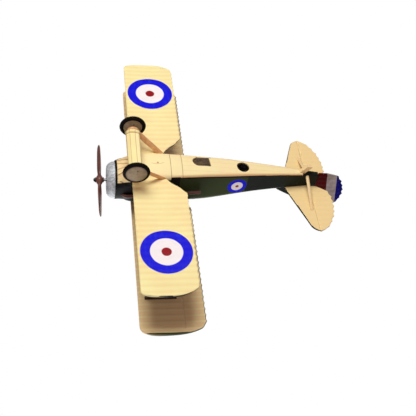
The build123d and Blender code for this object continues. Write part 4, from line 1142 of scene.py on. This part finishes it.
def fuselage_paint():
    """Green, black and dark green by station, a roundel, worn ribs and scribed panel lines."""
    net = Net("fuselage_paint")
    waver = net.noise(9, 1.0) * 3 - 1.5
    station = net.x + waver
    side = net.mix(station.within(*BLACK_PATCH, 0.15), BLACK, GREEN)
    side = net.mix(1 - station.above(BLACK_PATCH[0], 0.15), side, DARK_GREEN)
    across, up = net.x - SIDE_ROUNDEL[0], net.z - SIDE_ROUNDEL[1]
    side = roundel(net, side, across, up, SIDE_ROUNDEL_RADIUS, 0.6, 0.17)
    ribs = abs((net.z * (2 * math.pi / 3.4)).math("SINE")).above(0.985, 0.012)
    wear_and_shade = net.noise(1.4, 4.0).above(0.68, 0.06) * ribs
    side = net.mix(wear_and_shade * 0.35, side, linear(92, 88, 72))
    first, *others = (net.x.within(*line, 0.05) for line in PANEL_LINES)
    lines = first
    for line in others:
        lines = lines.either(line)
    height = net.noise(0.5, 2.0) * 0.4 + ribs * 1.5 - lines * 2.5
    return net.finish(Base_Color=side, Roughness=net.noise(6) * 0.2 + 0.45,
                      Normal=net.bump(height, 0.3, 0.04), Specular_IOR_Level=0.12)


FUSELAGE = fuselage_paint()
ringed(FIN_RINGS, "fin_surface", "airframe", "fuselage_paint", FUSELAGE, stands_for=["fin"])
turned_piece("cowl_lip", cowl_lip, (0, 0, 0), "x", "airframe", "fuselage_paint", FUSELAGE)

# %% [markdown]
# The other finishes are few: metal that is cast, turned or hammered; plastic that is painted or
# stained with a grain; a clear screen; and the radiator's honeycomb. Each is one function of its
# tones, polish and lump size, so a strut and a seat differ only in numbers.

# %% Metal, plastic, glass and honeycomb
def metal(name, colour, dark, rough, lump, depth, metallic=1.0):
    """Cast or turned metal: lumpy tone, rough patches and a hammered bump."""
    net = Net(name)
    patches = net.noise(lump, 4.0)
    tint = net.mix(patches.above(0.5, 0.15), dark, colour)
    return net.finish(Base_Color=tint, Roughness=patches * 0.25 + (rough - 0.12), Metallic=metallic,
                      Normal=net.bump(net.noise(lump * 0.7, 3.0), depth, 0.08))


def plastic(name, colour, other, rough, stretch=(1, 1, 1), lump=2.0, coat=0.0):
    """Painted or stained plastic with a grain between two tones."""
    net = Net(name)
    grain = net.noise(lump, 4.0, stretch)
    tint = net.mix(grain.above(0.5, 0.22), colour, other)
    return net.finish(Base_Color=tint, Roughness=net.noise(lump * 1.6) * 0.18 + (rough - 0.09),
                      Coat_Weight=coat, Normal=net.bump(net.noise(lump * 0.3, 3.0), 0.3, 0.03))


def glass():
    """Thin clear sheet, mostly see-through, with faint smears."""
    net = Net("clear_screen")
    smear = net.noise(1.5, 4.0)
    return net.finish(Base_Color=linear(235, 242, 240), Roughness=smear * 0.2 + 0.02,
                      Alpha=smear * 0.1 + 0.22, IOR=1.49)


def radiator_material():
    """Honeycomb of small tubes: a Voronoi pattern with painted shade in the cell mouths."""
    net = Net("radiator_honeycomb")
    inputs = {"Vector": net.point, "Scale": 1.6, "Randomness": 0.15}
    cells = net.node("ShaderNodeTexVoronoi", {}, inputs, "Distance")
    # Painted shade: each tube's mouth is painted near-black.
    colour = net.mix(cells.above(0.33, 0.06), linear(14, 13, 13), linear(92, 88, 80))
    return net.finish(Base_Color=colour, Roughness=net.noise(2) * 0.2 + 0.35, Metallic=0.6,
                      Normal=net.bump(cells, 0.8, 0.2))


RING_METAL = metal("hammered_ring", linear(214, 224, 228), linear(160, 170, 174), 0.5, 0.9, 0.8, 0.12)
piece("ring_hammered", ring_grid.reshape(-1, 3), RING_FACES, "airframe", "bare_metal", RING_METAL,
      ["radiator_ring"], crease=70)

# %% [markdown]
# The remaining CAD nodes keep their solids and only take a finish. A node is drawn from loose
# triangles that already face outwards, so nothing is done to its mesh. Each row below gives a
# finish's name, its two tones and its numbers, and then the nodes that wear it.

# %% Finishes for the CAD nodes
EVEN, UPRIGHT = (1, 1, 1), (1, 1, 0.08)
METALS = (
    ("shaft_steel", (150, 150, 154), (108, 108, 112), (0.35, 0.8, 0.3),
     "propeller_shaft axle axle_clips assembly_screws aileron_hinge_pin_left aileron_hinge_pin_right "
     "elevator_torque_tube rudder_hinge_pin shaft_bearing shaft_collar"),
    ("dark_fittings", (34, 31, 31), (15, 14, 14), (0.4, 0.8, 0.4, 0.3),
     "hub_plates propeller_nut deck_gun control_stick radiator_shutters"),
)
PLASTICS = (
    ("cream_parts", (252, 232, 176), (244, 208, 146), (0.5, EVEN, 1.6), "belly_plug tail_skid tail_struts"),
    ("strut_wood", (74, 44, 30), (48, 28, 20), (0.4, UPRIGHT, 1.2, 0.2),
     "outer_struts_left outer_struts_right inner_struts_left inner_struts_right cabane_struts"),
    # The legs' tan is the cream of the other parts with painted shade mixed in.
    ("leg_cream", (236, 188, 134), (210, 152, 100), (0.5, (1, 1, 0.3), 1.8), "gear_leg_left gear_leg_right"),
    ("burnt_pipe", (104, 58, 44), (66, 36, 28), (0.6, (0.3, 1, 1), 2.4),
     "exhaust_pipe_left exhaust_pipe_right"),
    ("cockpit_leather", (118, 72, 44), (82, 48, 30), (0.55, EVEN, 1.4), "cockpit_rim seat"),
    ("cockpit_floor", (96, 82, 62), (70, 58, 42), (0.6,), "cockpit_tub instrument_panel"),
    ("socket_moulding", (30, 24, 20), (16, 13, 11), (0.22, EVEN, 1.5, 0.6), "stand_socket"),
    ("dial_faces", (226, 224, 214), (60, 58, 54), (0.3, EVEN, 0.7), "instrument_dials"),
)
FINISHES = [(FUSELAGE, "fuselage_shell nose_cowl filler_cap"), (glass(), "windscreen"),
            (radiator_material(), "radiator_core")]
for recipe, rows in ((metal, METALS), (plastic, PLASTICS)):
    for name, light, dark, numbers, nodes in rows:
        FINISHES.append((recipe(name, linear(*light), linear(*dark), *numbers), nodes))

finished = 0
for material, nodes in FINISHES:
    for name in nodes.split():
        slots = frame["nodes"][name].data.materials
        slots.clear()
        slots.append(material)
        finished += 1
print("finishes on", finished, "CAD nodes")

# %% [markdown]
# Soft studio light. The key comes from below and a little ahead, where the camera sees the belly;
# a wide fill keeps the shade warm. Three lamps above do the same for the upper side. Square area
# lamps are used because their size sets how soft a shadow's edge is.

# %% Lights
TARGET = place((-45, 0, -5))


def area_light(name, at, power, size, colour=(1, 1, 1)):
    """A square lamp at a flying point, aimed at the middle of the fuselage."""
    lamp = bpy.data.objects.new(name, bpy.data.lights.new(name, "AREA"))
    lamp.data.energy, lamp.data.size, lamp.data.color = power, size, colour
    lamp.location = place(at)
    lamp.rotation_mode = "QUATERNION"
    lamp.rotation_quaternion = (Vector(TARGET) - lamp.location).to_track_quat("-Z", "Y")
    scene.collection.objects.link(lamp)
    print(f"{name}: {power} W, {size} m across")


area_light("key_below", (25, 45, -430), 1.44, 0.2, (1, 0.99, 0.97))
area_light("fill_below", (-60, -420, -160), 0.12, 0.4, (1, 0.93, 0.86))
area_light("key_above", (180, -300, 420), 1.7, 0.3)
area_light("fill_above", (-320, 260, 330), 0.9, 0.4, (0.96, 0.98, 1))
area_light("overhead", (-45, 0, 620), 2.6, 0.6, (0.97, 1, 1))

# %% [markdown]
# The room looks white, yet gives only a dim, warm light, which tints the shade under the wings. One
# background can't do both, so two are mixed by whether the ray comes straight from the camera.

# %% Room
SEEN_COLOUR, LIT_COLOUR, LIT_STRENGTH = (1, 1, 1), (1, 0.73, 0.75), 0.28
world = bpy.data.worlds.new("pale_room")
scene.world = world
world.use_nodes = True
room = Graph(world.node_tree)
room.tree.nodes.remove(room.tree.nodes["Background"])
seen = room.node("ShaderNodeLightPath", {}, {}, "Is Camera Ray")
shown = room.node("ShaderNodeBackground", {}, {"Color": (*SEEN_COLOUR, 1), "Strength": 1.0})
lit = room.node("ShaderNodeBackground", {}, {"Color": (*LIT_COLOUR, 1), "Strength": LIT_STRENGTH})
blend = room.node("ShaderNodeMixShader", {}, {0: seen, 1: lit, 2: shown})
room.feed(room.tree.nodes["World Output"].inputs["Surface"], blend)
print("room light", LIT_COLOUR, "at", LIT_STRENGTH)

# %% [markdown]
# The table is one sheet that shows only from above, so the belly can be looked at from below it. It
# glows a little instead of bouncing light, because a bounce would wash out the shade of the wings.

# %% Table
TABLE_HALF, TABLE_GREY, TABLE_GLOW = 1.5, (0.4, 0.41, 0.41), 0.42
corners = [(x * TABLE_HALF, y * TABLE_HALF, 0) for x, y in ((-1, -1), (1, -1), (1, 1), (-1, 1))]
table_mesh = bpy.data.meshes.new("table")
table_mesh.from_pydata(corners, [], [(0, 1, 2, 3)])
table = bpy.data.objects.new("table", table_mesh)
scene.collection.objects.link(table)
table_paint = bpy.data.materials.new("table_paint")
table_paint.use_nodes = True
sheet = Graph(table_paint.node_tree)
facing_away = sheet.node("ShaderNodeNewGeometry", {}, {}, "Backfacing")
surface = sheet.tree.nodes["Principled BSDF"].inputs
sheet.feed(surface["Base Color"], TABLE_GREY)
sheet.feed(surface["Roughness"], 0.9)
sheet.feed(surface["Emission Color"], (1, 1, 1))
sheet.feed(surface["Emission Strength"], TABLE_GLOW)
sheet.feed(surface["Alpha"], 1 - facing_away)
table_mesh.materials.append(table_paint)
table.visible_shadow = table.visible_diffuse = table.visible_glossy = False
print("table is", 2 * TABLE_HALF, "m square")
